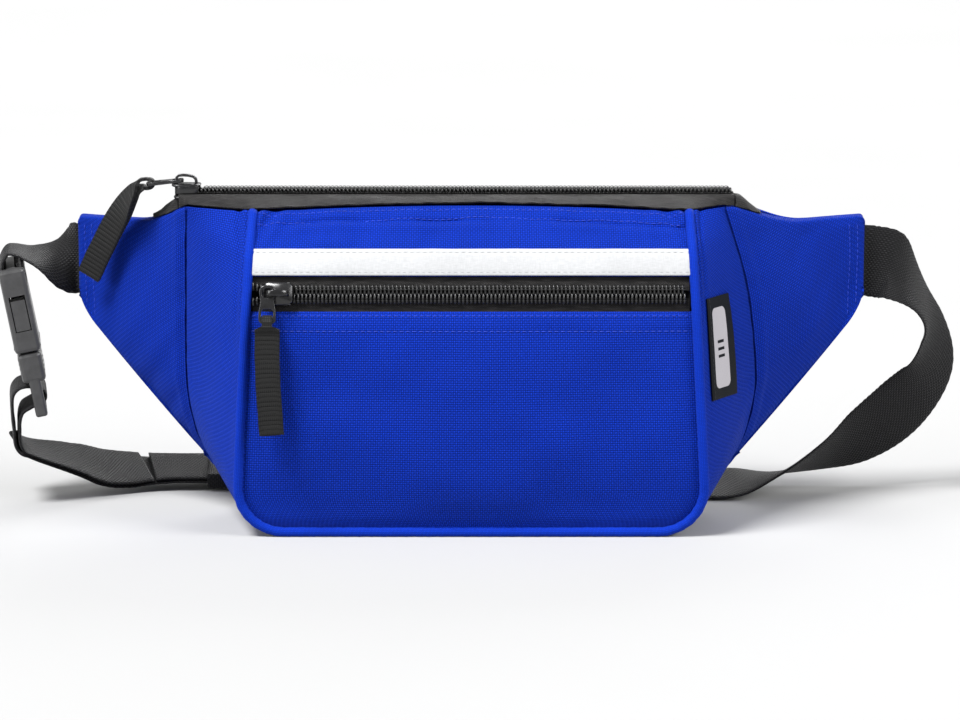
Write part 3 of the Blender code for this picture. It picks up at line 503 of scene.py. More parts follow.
def ribbed(name, colour, rib, thread, roughness=0.6, depth=0.22, contrast=0.6, stagger=0.5, streaks=0.0):
    """Webbing or tape: ribs across its length, each rib made of side-by-side threads."""
    finish = Finish(name, colour, roughness, Sheen_Weight=0.05, Sheen_Roughness=0.45,
                    Specular_IOR_Level=0.16)
    along, across = finish.along_and_across()
    column, row = along / rib, across / thread
    shift = (math.floor(row) % 2.0) * stagger
    height = (column + shift).humps() * row.humps() ** 0.6
    fuzz = finish.noise(finish.uv(), 3.0, 3.0)
    shade = finish.ramp(height, 0.1, 0.95, 1 - contrast, 1 + contrast * 0.6)
    shade = shade * finish.ramp(fuzz, 0.3, 0.7, 0.85, 1.15)
    if streaks:
        # lighter diagonal bands painted into the colour: painted sheen of the satin tape
        painted_satin_sheen = finish.slubs(0.16, 1.3, 0.6)
        shade = shade * finish.ramp(painted_satin_sheen, 0.42, 0.68, 1.0, 1.0 + streaks)
    finish.set("Base Color", finish.tinted(shade))
    finish.set("Roughness", finish.ramp(height, 0.1, 0.95, roughness + 0.15, roughness - 0.1))
    finish.set("Normal", finish.bump(height + fuzz * 0.25, depth * MM))
    return finish.material


def moulded(name, colour, roughness, metallic=0.0, grain=9000.0, depth=0.006, coat=0.0):
    """Moulded plastic or enamelled metal: fine grain and wear that changes its gloss."""
    finish = Finish(name, colour, roughness, Metallic=metallic, Specular_IOR_Level=0.5)
    if coat:
        finish.shader.inputs["Coat Weight"].default_value = coat
        finish.shader.inputs["Coat Roughness"].default_value = 0.2
    where = finish.place()
    fine = finish.noise(where, grain, 2.0)
    wear = finish.noise(where, 260.0, 4.0, 0.7)
    finish.set("Base Color", finish.tinted(finish.ramp(wear, 0.35, 0.7, 0.85, 1.3)))
    finish.set("Roughness", finish.ramp(wear, 0.3, 0.7, roughness - 0.07, roughness + 0.1))
    finish.set("Normal", finish.bump(fine, depth * MM, 0.6))
    return finish.material


SHEEN_BLUE = (0.3, 0.5, 1.0)
BLUE = cloth("blue_oxford", (0.0010, 0.024, 0.34), 0.92, depth=0.24, contrast=0.6, sheen=0.05,
             tint=SHEEN_BLUE)
PIPING = cloth("blue_binding", (0.0012, 0.026, 0.36), 0.75, depth=0.14, sheen=0.05, tint=SHEEN_BLUE)
RIBBON = cloth("white_ribbon", (0.43, 0.435, 0.445), 0.34, 0.6, 0.03, 0.08, 0.0)
LINING = cloth("black_lining", (0.010, 0.010, 0.012), 0.4, 0.7, 0.04, 0.3, 0.0)
# its streaks are painted sheen: lighter diagonal bands in the tape's colour
TAPE_CLOTH = ribbed("zip_tape_weave", (0.0085, 0.008, 0.008), 1.1, 0.5, 0.55, 0.12, 0.6, streaks=2.2)
WEBBING = ribbed("black_webbing", (0.0065, 0.0065, 0.0075), 1.6, 0.9, 0.5, 0.3, 0.65)
TAB_WEB = ribbed("pull_tab_webbing", (0.010, 0.010, 0.010), 1.9, 0.8, 0.5, 0.14, 0.75, stagger=0.0)
NYLON = moulded("nylon_coil", (0.010, 0.010, 0.010), 0.25, grain=6000)
METAL = moulded("black_enamel", (0.012, 0.012, 0.013), 0.22, metallic=0.3, coat=0.3)
PLASTIC = moulded("black_acetal", (0.036, 0.036, 0.037), 0.36, depth=0.012, coat=0.15)
BLUE_THREAD = moulded("blue_thread", (0.0015, 0.03, 0.38), 0.6, grain=4000)
BLACK_THREAD = moulded("black_thread", (0.012, 0.012, 0.013), 0.5, grain=4000)
WHITE_THREAD = moulded("white_thread", (0.32, 0.33, 0.34), 0.6, grain=4000)


# ---------------------------------------------------------------- the bag's surfaces

def back_y(x):
    """The back panel's outer face: flat in the middle, and swept back towards the wing ends."""
    over = max(0.0, abs(x) - BACK_FLAT_HALF) / WING_SPAN
    return REAR_Y + WING_SWEEP * over**2


def inside_back(x, depth):
    """The depth below the back panel's outer face, square to it."""
    over = max(0.0, abs(x) - BACK_FLAT_HALF) / WING_SPAN
    slope = 2 * WING_SWEEP * over / WING_SPAN
    return back_y(x) - depth * math.sqrt(1 + slope**2)


def lower_outline(x):
    """The bag's base: level, then turning smoothly up into the wings' slanting edges."""
    run = abs(x) - BASE_HALF
    if run <= 0:
        return 0.0
    if run < 2 * BASE_TURN:
        return DIAGONAL_SLOPE * run**2 / (4 * BASE_TURN)
    return DIAGONAL_SLOPE * (run - BASE_TURN)


def wing_corner(x, radius):
    """How far a rounded corner takes the wing's end in at x."""
    over = max(0.0, abs(x) - (WING_END_X - radius)) / radius
    return radius * (1 - math.sqrt(max(0.0, 1 - over**2)))


def back_top(x):
    """The back panel's top edge: full height, falling to the lower wing ends."""
    shoulder = SEAM_HALF - 21 * MM
    return lerp(BAG_HEIGHT, WING_TOP_Z, smoothstep(shoulder, shoulder + 40 * MM, abs(x)))


PROFILE = Route([((0, y * MM, z * DRAWN_MM), (1, 0, 0)) for y, z in (
    (0, 0), (-5, 30), (-6, 60), (-5.5, 93), (-1.7, 109), (1.7, 117), (9.5, 124.5), (20, 133.4))])
PROFILE_POINTS = [PROFILE.point(i / 400) for i in range(401)]
PROFILE_Z = [point.z for point in PROFILE_POINTS]
PROFILE_Y = [point.y for point in PROFILE_POINTS]


def front_y(z):
    """The front pocket's face, leaning back towards its top."""
    return FRONT_Y + float(np.interp(z, PROFILE_Z, PROFILE_Y))


def pocket_half(z, inset=0.0):
    """Half the front pocket's width, with its rounded lower corners."""
    side = lerp(POCKET_WIDTH_BOTTOM, POCKET_WIDTH_TOP, z / BAG_HEIGHT) / 2 - inset
    radius = POCKET_CORNER - inset
    drop = max(0.0, radius - (z - RIM_Z - inset))
    return side - radius + math.sqrt(max(0.0, radius**2 - drop**2))


def panel_top(x):
    """The front pocket's top edge, a little bowed."""
    return PANEL_TOP_MIDDLE - PANEL_TOP_DROP * (x / (POCKET_WIDTH_TOP / 2))**2


def front_crown(across, z):
    """How far a filled pocket's lower panel bulges."""
    up = (z - RIM_Z) / (FRONT_ZIP_Z - FRONT_ZIP_LIP - RIM_Z)
    return POCKET_CROWN * (1 - across**2) * max(0.0, 4 * up * (1 - up))


def front_point(x, z, lift=0.0):
    """A point on the pocket's face, lifted square to it."""
    step = 0.4 * MM
    tilt = (front_y(z + step) - front_y(z - step)) / (2 * step)
    return Vector((x, front_y(z), z)) + Vector((0, -1, tilt)).normalized() * lift


SIDE_STEPS, CORNER_STEPS, BASE_STEPS = 60, 30, 90


def rim_half(inset):
    radius = POCKET_CORNER - inset
    knee = RIM_Z + POCKET_CORNER
    points = []
    for i in range(SIDE_STEPS):
        z = lerp(RIM_TOP_Z, knee, i / SIDE_STEPS)
        points.append((pocket_half(z, inset), z))
    for i in range(CORNER_STEPS + 1):
        z = knee - radius * math.sin(math.pi / 2 * i / CORNER_STEPS)
        points.append((pocket_half(max(z, RIM_Z + inset), inset), z))
    return points


def rim(inset, back):
    """The pocket's border from its top left, round the base, to its top right."""
    half = rim_half(inset)
    run = half[-1][0]
    base = [(lerp(-run, run, i / BASE_STEPS), half[-1][1]) for i in range(1, BASE_STEPS)]
    outline = [(-x, z) for x, z in half] + base + half[::-1]
    return [Vector((x, front_y(max(z, 0)) + back, z)) for x, z in outline]


def seam_route(side):
    """The seam of a wing and the gusset, from the mouth down to the base."""
    inset, wide = SEAM_TOP_INSET[side], SEAM_HALF
    stations = [
        (wide - inset, MOUTH_FRONT_Y, BAG_HEIGHT - 1.5 * MM),
        (wide - 0.3 * inset, MOUTH_FRONT_Y + 5 * MM, 98 * DRAWN_MM),
        (wide, MOUTH_FRONT_Y + 7.5 * MM, 60 * DRAWN_MM),
        (wide - 1.5 * MM, lerp(MOUTH_FRONT_Y, BACK_INNER_Y, 0.42), 44 * DRAWN_MM),
        (lerp(wide, SEAM_END_X, 0.42), lerp(MOUTH_FRONT_Y, BACK_INNER_Y, 0.68), 28 * DRAWN_MM),
        (SEAM_END_X, BACK_INNER_Y, lower_outline(SEAM_END_X)),
    ]
    return Route([((side * x, y, z), (1, 0, 0)) for x, y, z in stations])


SEAMS = {side: seam_route(side) for side in (-1, 1)}
SEAM_SHARE = 0.55


def seam_point(side, t):
    return SEAMS[side].point(t)


def gusset_back_half(side):
    """The gusset's back edge: down a wing's seam, then along the base."""
    corner_share = 0.55
    points = [seam_point(side, SEAM_SHARE * i / SIDE_STEPS) for i in range(SIDE_STEPS)]
    for i in range(CORNER_STEPS + 1):
        t = i / CORNER_STEPS
        if t < corner_share:
            points.append(seam_point(side, lerp(SEAM_SHARE, 1.0, t / corner_share)))
        else:
            x = lerp(SEAM_END_X, BASE_HALF, (t - corner_share) / (1 - corner_share))
            points.append(Vector((side * x, BACK_INNER_Y, lower_outline(x))))
    return points


def wing_point(side, u, v):
    """A wing's front: u runs from its seam to its end, v from base to top."""
    seam = seam_point(side, 1 - v)
    seam_low, seam_top = seam_point(side, 1), seam_point(side, 0)
    share = (seam.z - seam_low.z) / (seam_top.z - seam_low.z)
    x = lerp(abs(seam.x), WING_END_X, u)
    low_x = lerp(SEAM_END_X, WING_END_X, u)
    low = lower_outline(low_x) + wing_corner(low_x, LOW_CORNER)
    top_x = lerp(abs(seam_top.x), WING_END_X, u)
    top = back_top(top_x) - wing_corner(top_x, TOP_CORNER)
    top += (seam_top.z - back_top(seam_top.x)) * (1 - u)**3
    depth = (inside_back(seam.x, LAYERS - PANEL) - seam.y) * (1 - u)**(1.3 + 0.9 * v**6)
    y = inside_back(x, LAYERS) - max(0.0, depth)
    return Vector((side * x, y, lerp(low, top, share)))


def gusset_point(side, z, v):
    """The gusset's side: v runs from the piping to the wing's seam."""
    front = front_point(side * pocket_half(z, -RIM_CLEAR), z)
    front.y += RIM_CLEAR
    knee = RIM_Z + POCKET_CORNER
    return front.lerp(seam_point(side, SEAM_SHARE * (RIM_TOP_Z - z) / (RIM_TOP_Z - knee)), v)


def top_edge(x):
    """The front edge of the bag's mouth, over the pocket, the gusset and the wing."""
    half = POCKET_WIDTH_TOP / 2
    if abs(x) <= half:
        return front_point(x, panel_top(x))
    side = 1 if x > 0 else -1
    seam = seam_point(side, 0)
    if abs(x) <= abs(seam.x):
        corner = front_point(side * half, RIM_TOP_Z)
        return corner.lerp(seam, (abs(x) - half) / (abs(seam.x) - half))
    return wing_point(side, (abs(x) - abs(seam.x)) / (WING_END_X - abs(seam.x)), 1)


# ---------------------------------------------------------------- relief of the sewn cloth

def hem(distance, radius=1.3 * MM, drop=0.6 * MM):
    """A folded edge rounds over: lowest at the edge, level from radius inwards."""
    if distance >= radius:
        return 0.0
    return -drop * (1 - math.sqrt(max(0.0, 1 - (1 - distance / radius)**2)))


def pucker(distance, along, reach=9 * MM, size=0.22 * MM, pitch=7 * MM, seed=0.0):
    """Small gathers that run out from a seam."""
    if distance > reach:
        return 0.0
    fade = (1 - distance / reach)**2
    return size * fade * noise.noise(Vector((along / pitch, distance / reach * 0.6, seed)))


STITCH, STITCH_PITCH, STITCH_RADIUS = 2.0 * MM, 2.6 * MM, 0.19 * MM
STITCH_RISE = (-0.7, 0.35, 0.75, 0.35, -0.7)
STITCH_FATNESS = (0.55, 0.95, 1.0, 0.95, 0.55)


def stitch_row(bits, points, normals, pitch=STITCH_PITCH, length=STITCH, radius=STITCH_RADIUS):
    """Lockstitches along a line: short rounded threads that dip into the cloth at both ends."""
    marks = [0.0]
    for a, b in zip(points, points[1:]):
        marks.append(marks[-1] + (b - a).length)

    def at(s):
        i = min(len(points) - 2, max(0, int(np.searchsorted(marks, s)) - 1))
        t = (s - marks[i]) / (marks[i + 1] - marks[i])
        return points[i].lerp(points[i + 1], t), normals[i].lerp(normals[i + 1], t)

    first = 0.3
    for k in range(int((marks[-1] - length) / pitch - first) + 1):
        start = (k + first) * pitch
        path, ups = [], []
        for step, rise in enumerate(STITCH_RISE):
            spot, normal = at(start + length * step / (len(STITCH_RISE) - 1))
            path.append(spot + normal * radius * rise)
            ups.append(normal)
        bits.add(*sweep(path, ups, lambda i: ring(radius * STITCH_FATNESS[i], 5)))


def row_on(surface, relief, samples):
    """Points and normals of a line on a surface; samples are (u, v) pairs."""
    points, normals = [], []
    step = 0.004
    for u, v in samples:
        here = surface(u, v)
        du = surface(min(1, u + step), v) - surface(max(0, u - step), v)
        dv = surface(u, min(1, v + step)) - surface(u, max(0, v - step))
        normal = du.cross(dv).normalized()
        points.append(here + normal * relief(u, v, here))
        normals.append(normal)
    return points, normals


def sew(name, thread, slot, surface, relief, rows, **stitch):
    """Rows of stitches on a surface, each row a list of (u, v) samples, as one piece of the bag."""
    bits = Bits()
    for samples in rows:
        stitch_row(bits, *row_on(surface, relief, samples), **stitch)
    finish_piece(bits.build(name, thread), "bag")


def shares(count, low=0.0, high=1.0):
    """Evenly spaced numbers from low to high, with both ends."""
    return [lerp(low, high, i / count) for i in range(count + 1)]


# ---------------------------------------------------------------- front pocket

LOWER_TOP = FRONT_ZIP_Z - FRONT_ZIP_LIP
LOWER_BOTTOM = RIM_Z + RIM_CLEAR
LOWER_KNEE, LOWER_TURN = LOWER_BOTTOM + POCKET_CORNER - RIM_CLEAR, 0.25
UPPER_LOW = FRONT_ZIP_Z + FRONT_ZIP_LIP


def lower_panel(u, v):
    if v < LOWER_TURN:
        z = lerp(LOWER_BOTTOM, LOWER_KNEE, (v / LOWER_TURN)**1.4)
    else:
        z = lerp(LOWER_KNEE, LOWER_TOP, (v - LOWER_TURN) / (1 - LOWER_TURN))
    across = 2 * u - 1
    point = front_point(across * pocket_half(z, RIM_CLEAR), z)
    point.y -= front_crown(across, z)
    return point


def lower_relief(u, v, point):
    x, z = point[0], point[2]
    side = pocket_half(z, RIM_CLEAR) - abs(x)
    edge = min(side, z - LOWER_BOTTOM)
    top = LOWER_TOP - z
    broad = 1.5 * MM * wander((x, 0, z * 1.4), 42 * MM, 3.1)
    broad += 0.7 * MM * wander((x, 0, z), 19 * MM, 8.0)
    calm = smoothstep(0, 12 * MM, edge) * smoothstep(0, 9 * MM, top)
    # the panel dips where the piping pulls it in
    sunk = -0.5 * MM * (1 - smoothstep(0, 5 * MM, edge))
    along = z if side < z - LOWER_BOTTOM else x
    fold = 0.175 * MM * bell(top - 5.2 * MM, 2.0 * MM)
    return broad * calm + sunk + fold + pucker(edge, along, seed=1.0) + hem(top, 1.6 * MM, 0.8 * MM)


def upper_panel(u, v):
    across = 2 * u - 1
    z = lerp(UPPER_LOW, panel_top(across * POCKET_WIDTH_TOP / 2), v)
    return front_point(across * pocket_half(z, RIM_CLEAR), z)


def upper_relief(u, v, point):
    x, z = point[0], point[2]
    top = panel_top(x) - z
    side = pocket_half(z, RIM_CLEAR) - abs(x)
    cloth_part = smoothstep(UPPER_LOW + STRIPE_WIDTH - 1 * MM, UPPER_LOW + STRIPE_WIDTH + 3 * MM, z)
    gathers = 1.3 * MM * wander((x, 0, 0), 15 * MM, 5.0) * smoothstep(0, 8 * MM, side)
    gathers += 0.7 * MM * wander((x, 0, z), 7 * MM, 9.0)
    # a long crease under the stitched edge, that wanders and fades as it runs
    level = 5.2 * MM + 1.6 * MM * wander((x, 0, 0), 40 * MM, 12.0)
    strength = 0.55 + 0.8 * wander((x, 0, 0), 34 * MM, 17.0)
    crease = -1.9 * MM * strength * bell(top - level, 0.8 * MM)
    crease += 1.1 * MM * strength * bell(top - level - 2.2 * MM, 1.5 * MM)
    # cloth drawn into the piping's upper ends
    corner = bell(side, 11 * MM) * bell(top, 9 * MM)
    pinch = 1.8 * MM * corner * math.sin((side * 0.9 + top * 0.7) / (1.5 * MM))
    pull = 0.3 * MM * bell(side, 9 * MM) * math.sin(side / (2.3 * MM)) * cloth_part
    calm = cloth_part * smoothstep(0, 3 * MM, top)
    return (calm * (gathers + crease) + pinch * cloth_part * smoothstep(0, 1.2 * MM, side) + pull
            + hem(top, 1.5 * MM, 0.9 * MM))


def stripe_surface(u, v):
    across = 2 * u - 1
    z = UPPER_LOW + v * STRIPE_WIDTH
    return front_point(across * pocket_half(z, RIM_CLEAR), z, GAP + STRIPE)


def stripe_relief(u, v, point):
    x = point[0]
    edge = min(v, 1 - v) * STRIPE_WIDTH
    wave = 0.12 * MM * wander((x, 0, v * STRIPE_WIDTH), 9 * MM, 2.0)
    from_row = edge - 1.3 * MM
    needle = -0.13 * MM * bell(from_row, 0.45 * MM)
    dimples = 0.06 * MM * math.cos(2 * math.pi * x / STITCH_PITCH) * bell(from_row, 0.8 * MM)
    return wave + needle + dimples + hem(edge, 0.5 * MM, 0.3 * MM)


def lining_surface(u, v):
    across = 2 * u - 1
    z = lerp(RIM_Z + RIM_CLEAR + 1 * MM, panel_top(0) - 8 * MM, v)
    room = (1 - abs(across)**8) * (1 - abs(2 * v - 1)**6)
    depth = PANEL + TAPE + 3 * GAP + POCKET_DEPTH * room
    return front_point(across * pocket_half(z, RIM_CLEAR + 0.5 * MM), z, -depth)


def lining_relief(u, v, point):
    return 0.5 * MM * wander(point, 16 * MM, 4.0) * (1 - abs(2 * u - 1)**4)


def make_front_pocket():
    lower = sheet("front_panel_lower_cloth", 190, 96, lower_panel, BLUE, PANEL, lower_relief,
                  facing=(0, -1, 0))
    finish_piece(lower, "bag", ["front_panel_lower"])
    upper = sheet("front_panel_upper_cloth", 200, 40, upper_panel, BLUE, PANEL, upper_relief,
                  facing=(0, -0.9, 0.43))
    finish_piece(upper, "bag", ["front_panel_upper"])
    stripe = sheet("contrast_ribbon", 240, 20, stripe_surface, RIBBON, STRIPE, stripe_relief)
    finish_piece(stripe, "bag", ["contrast_stripe"])
    lining = sheet("pocket_lining", 60, 50, lining_surface, LINING, TAPE, lining_relief)
    finish_piece(lining, "bag", ["pocket_divider"])


def sew_front_pocket():
    """Two rows along the ribbon, two below the pocket's top and two below its zip."""
    line = shares(300)
    sew("ribbon_stitching", WHITE_THREAD, "white_ribbon", stripe_surface, stripe_relief,
        [[(u, v) for u in line] for v in (0.13, 0.87)], radius=0.16 * MM)

    def below_top(u, back):
        x = (2 * u - 1) * POCKET_WIDTH_TOP / 2
        return 1 - back / (panel_top(x) - UPPER_LOW)

    bits = Bits()
    for back in (1.6 * MM, 4.6 * MM):
        stitch_row(bits, *row_on(upper_panel, upper_relief, [(u, below_top(u, back)) for u in line]))
    for back in (1.5 * MM, 7.6 * MM):
        v = 1 - (1 - LOWER_TURN) * back / (LOWER_TOP - LOWER_KNEE)
        stitch_row(bits, *row_on(lower_panel, lower_relief, [(u, v) for u in line]))
    finish_piece(bits.build("pocket_stitching", BLUE_THREAD), "bag")


def make_piping():
    """Cloth wrapped round a cord, with the slight pull of each stitch behind it."""
    path = rim(0.0, 0.0)
    sides, rings, uvs = 14, [], []
    run = 0.0
    for i, centre in enumerate(path):
        before, after = path[max(0, i - 1)], path[min(len(path) - 1, i + 1)]
        run += (centre - before).length
        along = (after - before).normalized()
        across = along.cross(Vector((0, -1, 0))).normalized()
        out = across.cross(along)
        rings.append([])
        for k in range(sides + 1):
            turn = 2 * math.pi * (k % sides) / sides
            radius = PIPING_SHOWN * (1 + 0.05 * math.sin(run / MM * 1.3 + 2 * turn)
                                      + 0.05 * wander((run, turn * MM, 0), 6 * MM))
            rings[-1].append(centre + (across * math.cos(turn) + out * math.sin(turn)) * radius)
            uvs.append((run / MM + k * 0.6, k / sides * 2 * math.pi * PIPING_SHOWN / MM))
    piece = tube("pocket_piping_cord", rings, uvs, PIPING)
    finish_piece(piece, "bag", ["pocket_piping"])


# ---------------------------------------------------------------- gusset, wings and back

def make_gusset():
    """One strip round the sides and base, from the wings' seams and the back to the piping."""
    front = rim(-RIM_CLEAR, RIM_CLEAR)
    left, right = gusset_back_half(-1), gusset_back_half(1)
    run = left[-1].x
    base = [Vector((lerp(run, -run, i / BASE_STEPS), BACK_INNER_Y, 0)) for i in range(1, BASE_STEPS)]
    back = left + base + right[::-1]
    columns = len(front) - 1

    def place(u, v):
        i = round(u * columns)
        return back[i].lerp(front[i], v)

    def relief(u, v, point):
        i = round(u * columns)
        depth = (front[i] - back[i]).length
        to_front, to_seam = (1 - v) * depth, v * depth
        along = u * 0.42
        upright = smoothstep(20 * MM, 45 * MM, point[2])
        broad = 1.2 * MM * wander(point, 26 * MM, 6.0) * smoothstep(0, 8 * MM, min(to_front, to_seam))
        groove = -0.35 * MM * (1 - smoothstep(0, 2.5 * MM, to_seam))
        gathers = pucker(to_front, along, seed=2.0) + pucker(to_seam, along, seed=3.0)
        top = point[2] - (BAG_HEIGHT - 6 * MM)
        folds = 0.2 * MM * math.sin(v * 9) * smoothstep(0, 6 * MM, top)
        # cloth drawn in by the piping near its upper ends
        pinch = math.sin(to_front / (1.1 * MM) + 2 * wander(point, 25 * MM, 8.0))
        pinch *= 0.9 * MM * bell(to_front - 3 * MM, 3.2 * MM)
        pinch *= smoothstep(70 * MM, 120 * MM, point[2])
        return (broad + groove + gathers) * upright + folds + pinch

    piece = sheet("gusset_cloth", columns, 40, place, BLUE, PANEL, relief)
    finish_piece(piece, "bag", ["pocket_gusset"])


WING_RETURN = 0.05
WING_RETURN_DEPTH = 5.5 * MM


def wing_surface(side):
    """A wing's front, with its top and lower edges turned back to meet the back panel."""
    def place(u, v):
        across = u if side > 0 else 1 - u
        start = 0.3 * MM / WING_LENGTH
        inner = (v - WING_RETURN) / (1 - 2 * WING_RETURN)
        held = min(1.0, max(0.0, inner))
        spot = wing_point(side, lerp(start, 1, across), held)
        beyond = max(0.0, -inner, inner - 1) * (1 - 2 * WING_RETURN) / WING_RETURN
        if beyond > 0:
            room = inside_back(spot.x, PANEL + GAP) - spot.y
            room = max(0.0, min(room, WING_RETURN_DEPTH))
            sign = 1 if inner > 1 else -1
            turn = beyond * math.pi / 2
            spot.y += room * math.sin(turn)
            spot.z += sign * 0.25 * room * (math.sin(turn) - 0.6 * beyond)
        return spot
    return place


def wing_relief(side):
    def relief(u, v, point):
        x, y, z = point
        across = u if side > 0 else 1 - u
        from_seam, from_end = across * WING_LENGTH, (1 - across) * WING_LENGTH
        broad = 1.9 * MM * wander((x, y, z * 0.7), 26 * MM, 11.0 + side)
        broad += 0.6 * MM * wander((x - 0.6 * z, 0, 0.3 * z), 9 * MM, 4.0 + side)
        broad *= smoothstep(0, 6 * MM, from_seam) * smoothstep(0, 6 * MM, from_end)
        broad *= smoothstep(WING_RETURN, WING_RETURN + 0.08, min(v, 1 - v))
        groove = -0.3 * MM * (1 - smoothstep(0, 2.2 * MM, from_seam))
        ridge = 0.35 * MM * bell(from_seam - 3.4 * MM, 1.3 * MM)
        gathers = pucker(from_seam, z, 14 * MM, 0.5 * MM, 8 * MM, side)
        return broad + groove + ridge + gathers + hem(from_end, 1.4 * MM, 0.5 * MM)
    return relief


def make_wing(side, name, node):
    surface, relief = wing_surface(side), wing_relief(side)
    piece = sheet(name, 84, 110, surface, BLUE, PANEL, relief)
    finish_piece(piece, "bag", [node])
    insets = [inset / WING_LENGTH for inset in (3 * MM, 6 * MM)]
    upright = shares(160, WING_RETURN + 0.1, 1 - WING_RETURN - 0.05)
    rows = [[(1 - inset if side > 0 else inset, v) for v in upright] for inset in insets]
    sew(f"{name}_stitching", BLUE_THREAD, "blue_cloth", surface, relief, rows)


def back_surface(u, v):
    x = lerp(WING_END_X, -WING_END_X, u)
    low = lower_outline(x) + wing_corner(x, LOW_CORNER)
    return Vector((x, back_y(x), lerp(low, back_top(x) - wing_corner(x, TOP_CORNER), v)))


def back_relief(u, v, point):
    edge = min((1 - v) * BAG_HEIGHT, v * BAG_HEIGHT, u * 2 * WING_END_X, (1 - u) * 2 * WING_END_X)
    broad = 0.45 * MM * wander(point, 38 * MM, 21.0) + 0.2 * MM * wander(point, 14 * MM, 7.0)
    return broad * smoothstep(0, 10 * MM, edge) - 0.4 * MM + hem(edge, 1.6 * MM, 0.6 * MM)


def make_back():
    piece = sheet("back_panel_cloth", 260, 100, back_surface, BLUE, PANEL - GAP, back_relief)
    finish_piece(piece, "bag", ["back_panel"])
    edges = [[(u, v) for u in shares(400, 0.012, 0.988)] for v in (0.025, 0.972)]
    ends = [[(u, v) for v in shares(100, 0.04, 0.96)] for u in (0.0075, 0.9925)]
    # the rows that hold the webbing, sewn through at both wing ends
    ends += [[(u, v) for v in shares(100, 0.1, 0.9)] for u in (0.028, 0.972)]
    sew("back_panel_stitching", BLUE_THREAD, "blue_cloth", back_surface, back_relief, edges + ends)


# ---------------------------------------------------------------- zips

def chain_frame(name):
    """The chain's own axes: X along it, Y across it, Z out of the bag."""
    if name == "front":
        low = front_point(0, FRONT_ZIP_Z - TAPE_SLIT_HALF, -(PANEL + GAP))
        high = front_point(0, FRONT_ZIP_Z + TAPE_SLIT_HALF, -(PANEL + GAP))
        middle, across = (low + high) / 2, (high - low).normalized()
    else:
        middle, across = Vector((0, MAIN_ZIP_Y, MAIN_ZIP_Z)), Vector((0, 1, 0))
    along = Vector((1, 0, 0))
    axes = Matrix((along, across, along.cross(across))).transposed().to_4x4()
    return Matrix.Translation(middle) @ axes


TOOTH_PITCH = 1.62 * MM
WIRE = 0.41 * MM
TOOTH_SLANT = 0.42 * MM
TOOTH_LOOP = ((3.45, 1.0), (3.3, 1.75), (2.7, 2.15), (1.4, 2.2), (0.3, 2.1), (-0.35, 1.7),
              (-0.45, 1.25), (-0.2, 0.8), (0.8, 0.66), (2.4, 0.66), (3.2, 0.72))
HEAD = range(4, 8)


def make_coil(name, chain, span, sign, node):
    """One half of the chain: a nylon filament in loops, its thicker heads meshing past the middle."""
    bits = Bits()
    start = span[0] + WIRE + (TOOTH_PITCH / 2 if sign > 0 else 0)
    side = chain.to_3x3() @ Vector((1, 0, 0))
    last = len(TOOTH_LOOP) - 1
    for k in range(int((span[1] - WIRE - start) / TOOTH_PITCH) + 1):
        path = []
        for i, (across, out) in enumerate(TOOTH_LOOP):
            along = start + k * TOOTH_PITCH + (i / last - 0.5) * TOOTH_SLANT
            path.append(chain @ Vector((along, sign * (across + 0.25) * MM, out * MM)))
        bits.add(*sweep(path, side, lambda i: ring(WIRE * (1.15 if i in HEAD else 1.0))))
    finish_piece(bits.build(name, NYLON), "bag", [node])


def make_chain_thread(name, chain, span):
    """The sewing thread that holds each coil half down on its tape."""
    bits = Bits()
    normal = chain.to_3x3() @ Vector((0, 0, 1))
    for sign in (-1, 1):
        for across in (1.75, 2.75):
            points = [chain @ Vector((x, sign * across * MM, 2.62 * MM)) for x in shares(40, *span)]
            stitch_row(bits, points, [normal] * 41, TOOTH_PITCH, TOOTH_PITCH * 0.82, 0.11 * MM)
    finish_piece(bits.build(name, BLACK_THREAD), "bag")


def make_parted_teeth(chain):
    """The few open teeth between the slider and the panel's edge."""
    bits = Bits()
    edge = -pocket_half(FRONT_ZIP_Z, RIM_CLEAR) + 0.8 * MM
    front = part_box("front_slider")[0][0]
    side = chain.to_3x3() @ Vector((1, 0, 0))
    for sign in (-1, 1):
        x = front - 0.7 * MM
        while x > edge:
            away = 0.9 * MM + (front - x) * 0.28
            path = [chain @ Vector((x, sign * (across * MM * 0.8 + away), out * MM * 0.9))
                    for across, out in TOOTH_LOOP]
            bits.add(*sweep(path, side, lambda i: ring(WIRE)))
            x -= TOOTH_PITCH
    finish_piece(bits.build("front_parted_teeth", NYLON), "bag")


SLIDER_PLAN = ((0.0, 1.1), (0.35, 3.0), (1.3, 4.3), (2.6, 4.68), (5.0, 4.62), (8.5, 4.3),
               (10.6, 4.2), (11.7, 3.6), (12.0, 2.6))
SLIDER_MIDDLE, SLIDER_HALF = 6.0, 4.7
# each station of the crown: its place along the slider, its height, half its width and thickness
CROWN = ((1.9, 3.7, 1.05, 0.62), (1.9, 5.2, 1.05, 0.6), (2.05, 6.5, 1.1, 0.55),
         (2.9, 7.3, 1.1, 0.52), (4.6, 7.5, 1.25, 0.5), (7.0, 7.35, 1.25, 0.5),
         (8.9, 6.9, 1.1, 0.52), (9.9, 5.9, 1.1, 0.55), (10.1, 4.9, 1.1, 0.6), (10.1, 3.7, 1.2, 0.62))


def slider_plate(place, low, high, shrink, soft):
    """The slider's outline between two heights, shrunk and with softened edges; in millimetres."""
    outline = list(SLIDER_PLAN) + [(x, -y) for x, y in SLIDER_PLAN[::-1]]
    levels = ((low, shrink + soft), (low + soft, shrink), (high - soft, shrink), (high, shrink + soft))
    width = len(outline)
    points = [place(lerp(x, SLIDER_MIDDLE, inset / SLIDER_MIDDLE), y * (1 - inset / SLIDER_HALF), z)
              for z, inset in levels for x, y in outline]
    faces = [(a + k, a + (k + 1) % width, a + width + (k + 1) % width, a + width + k)
             for a in range(0, 3 * width, width) for k in range(width)]
    faces += [tuple(range(width))[::-1], tuple(range(3 * width, 4 * width))]
    return points, faces


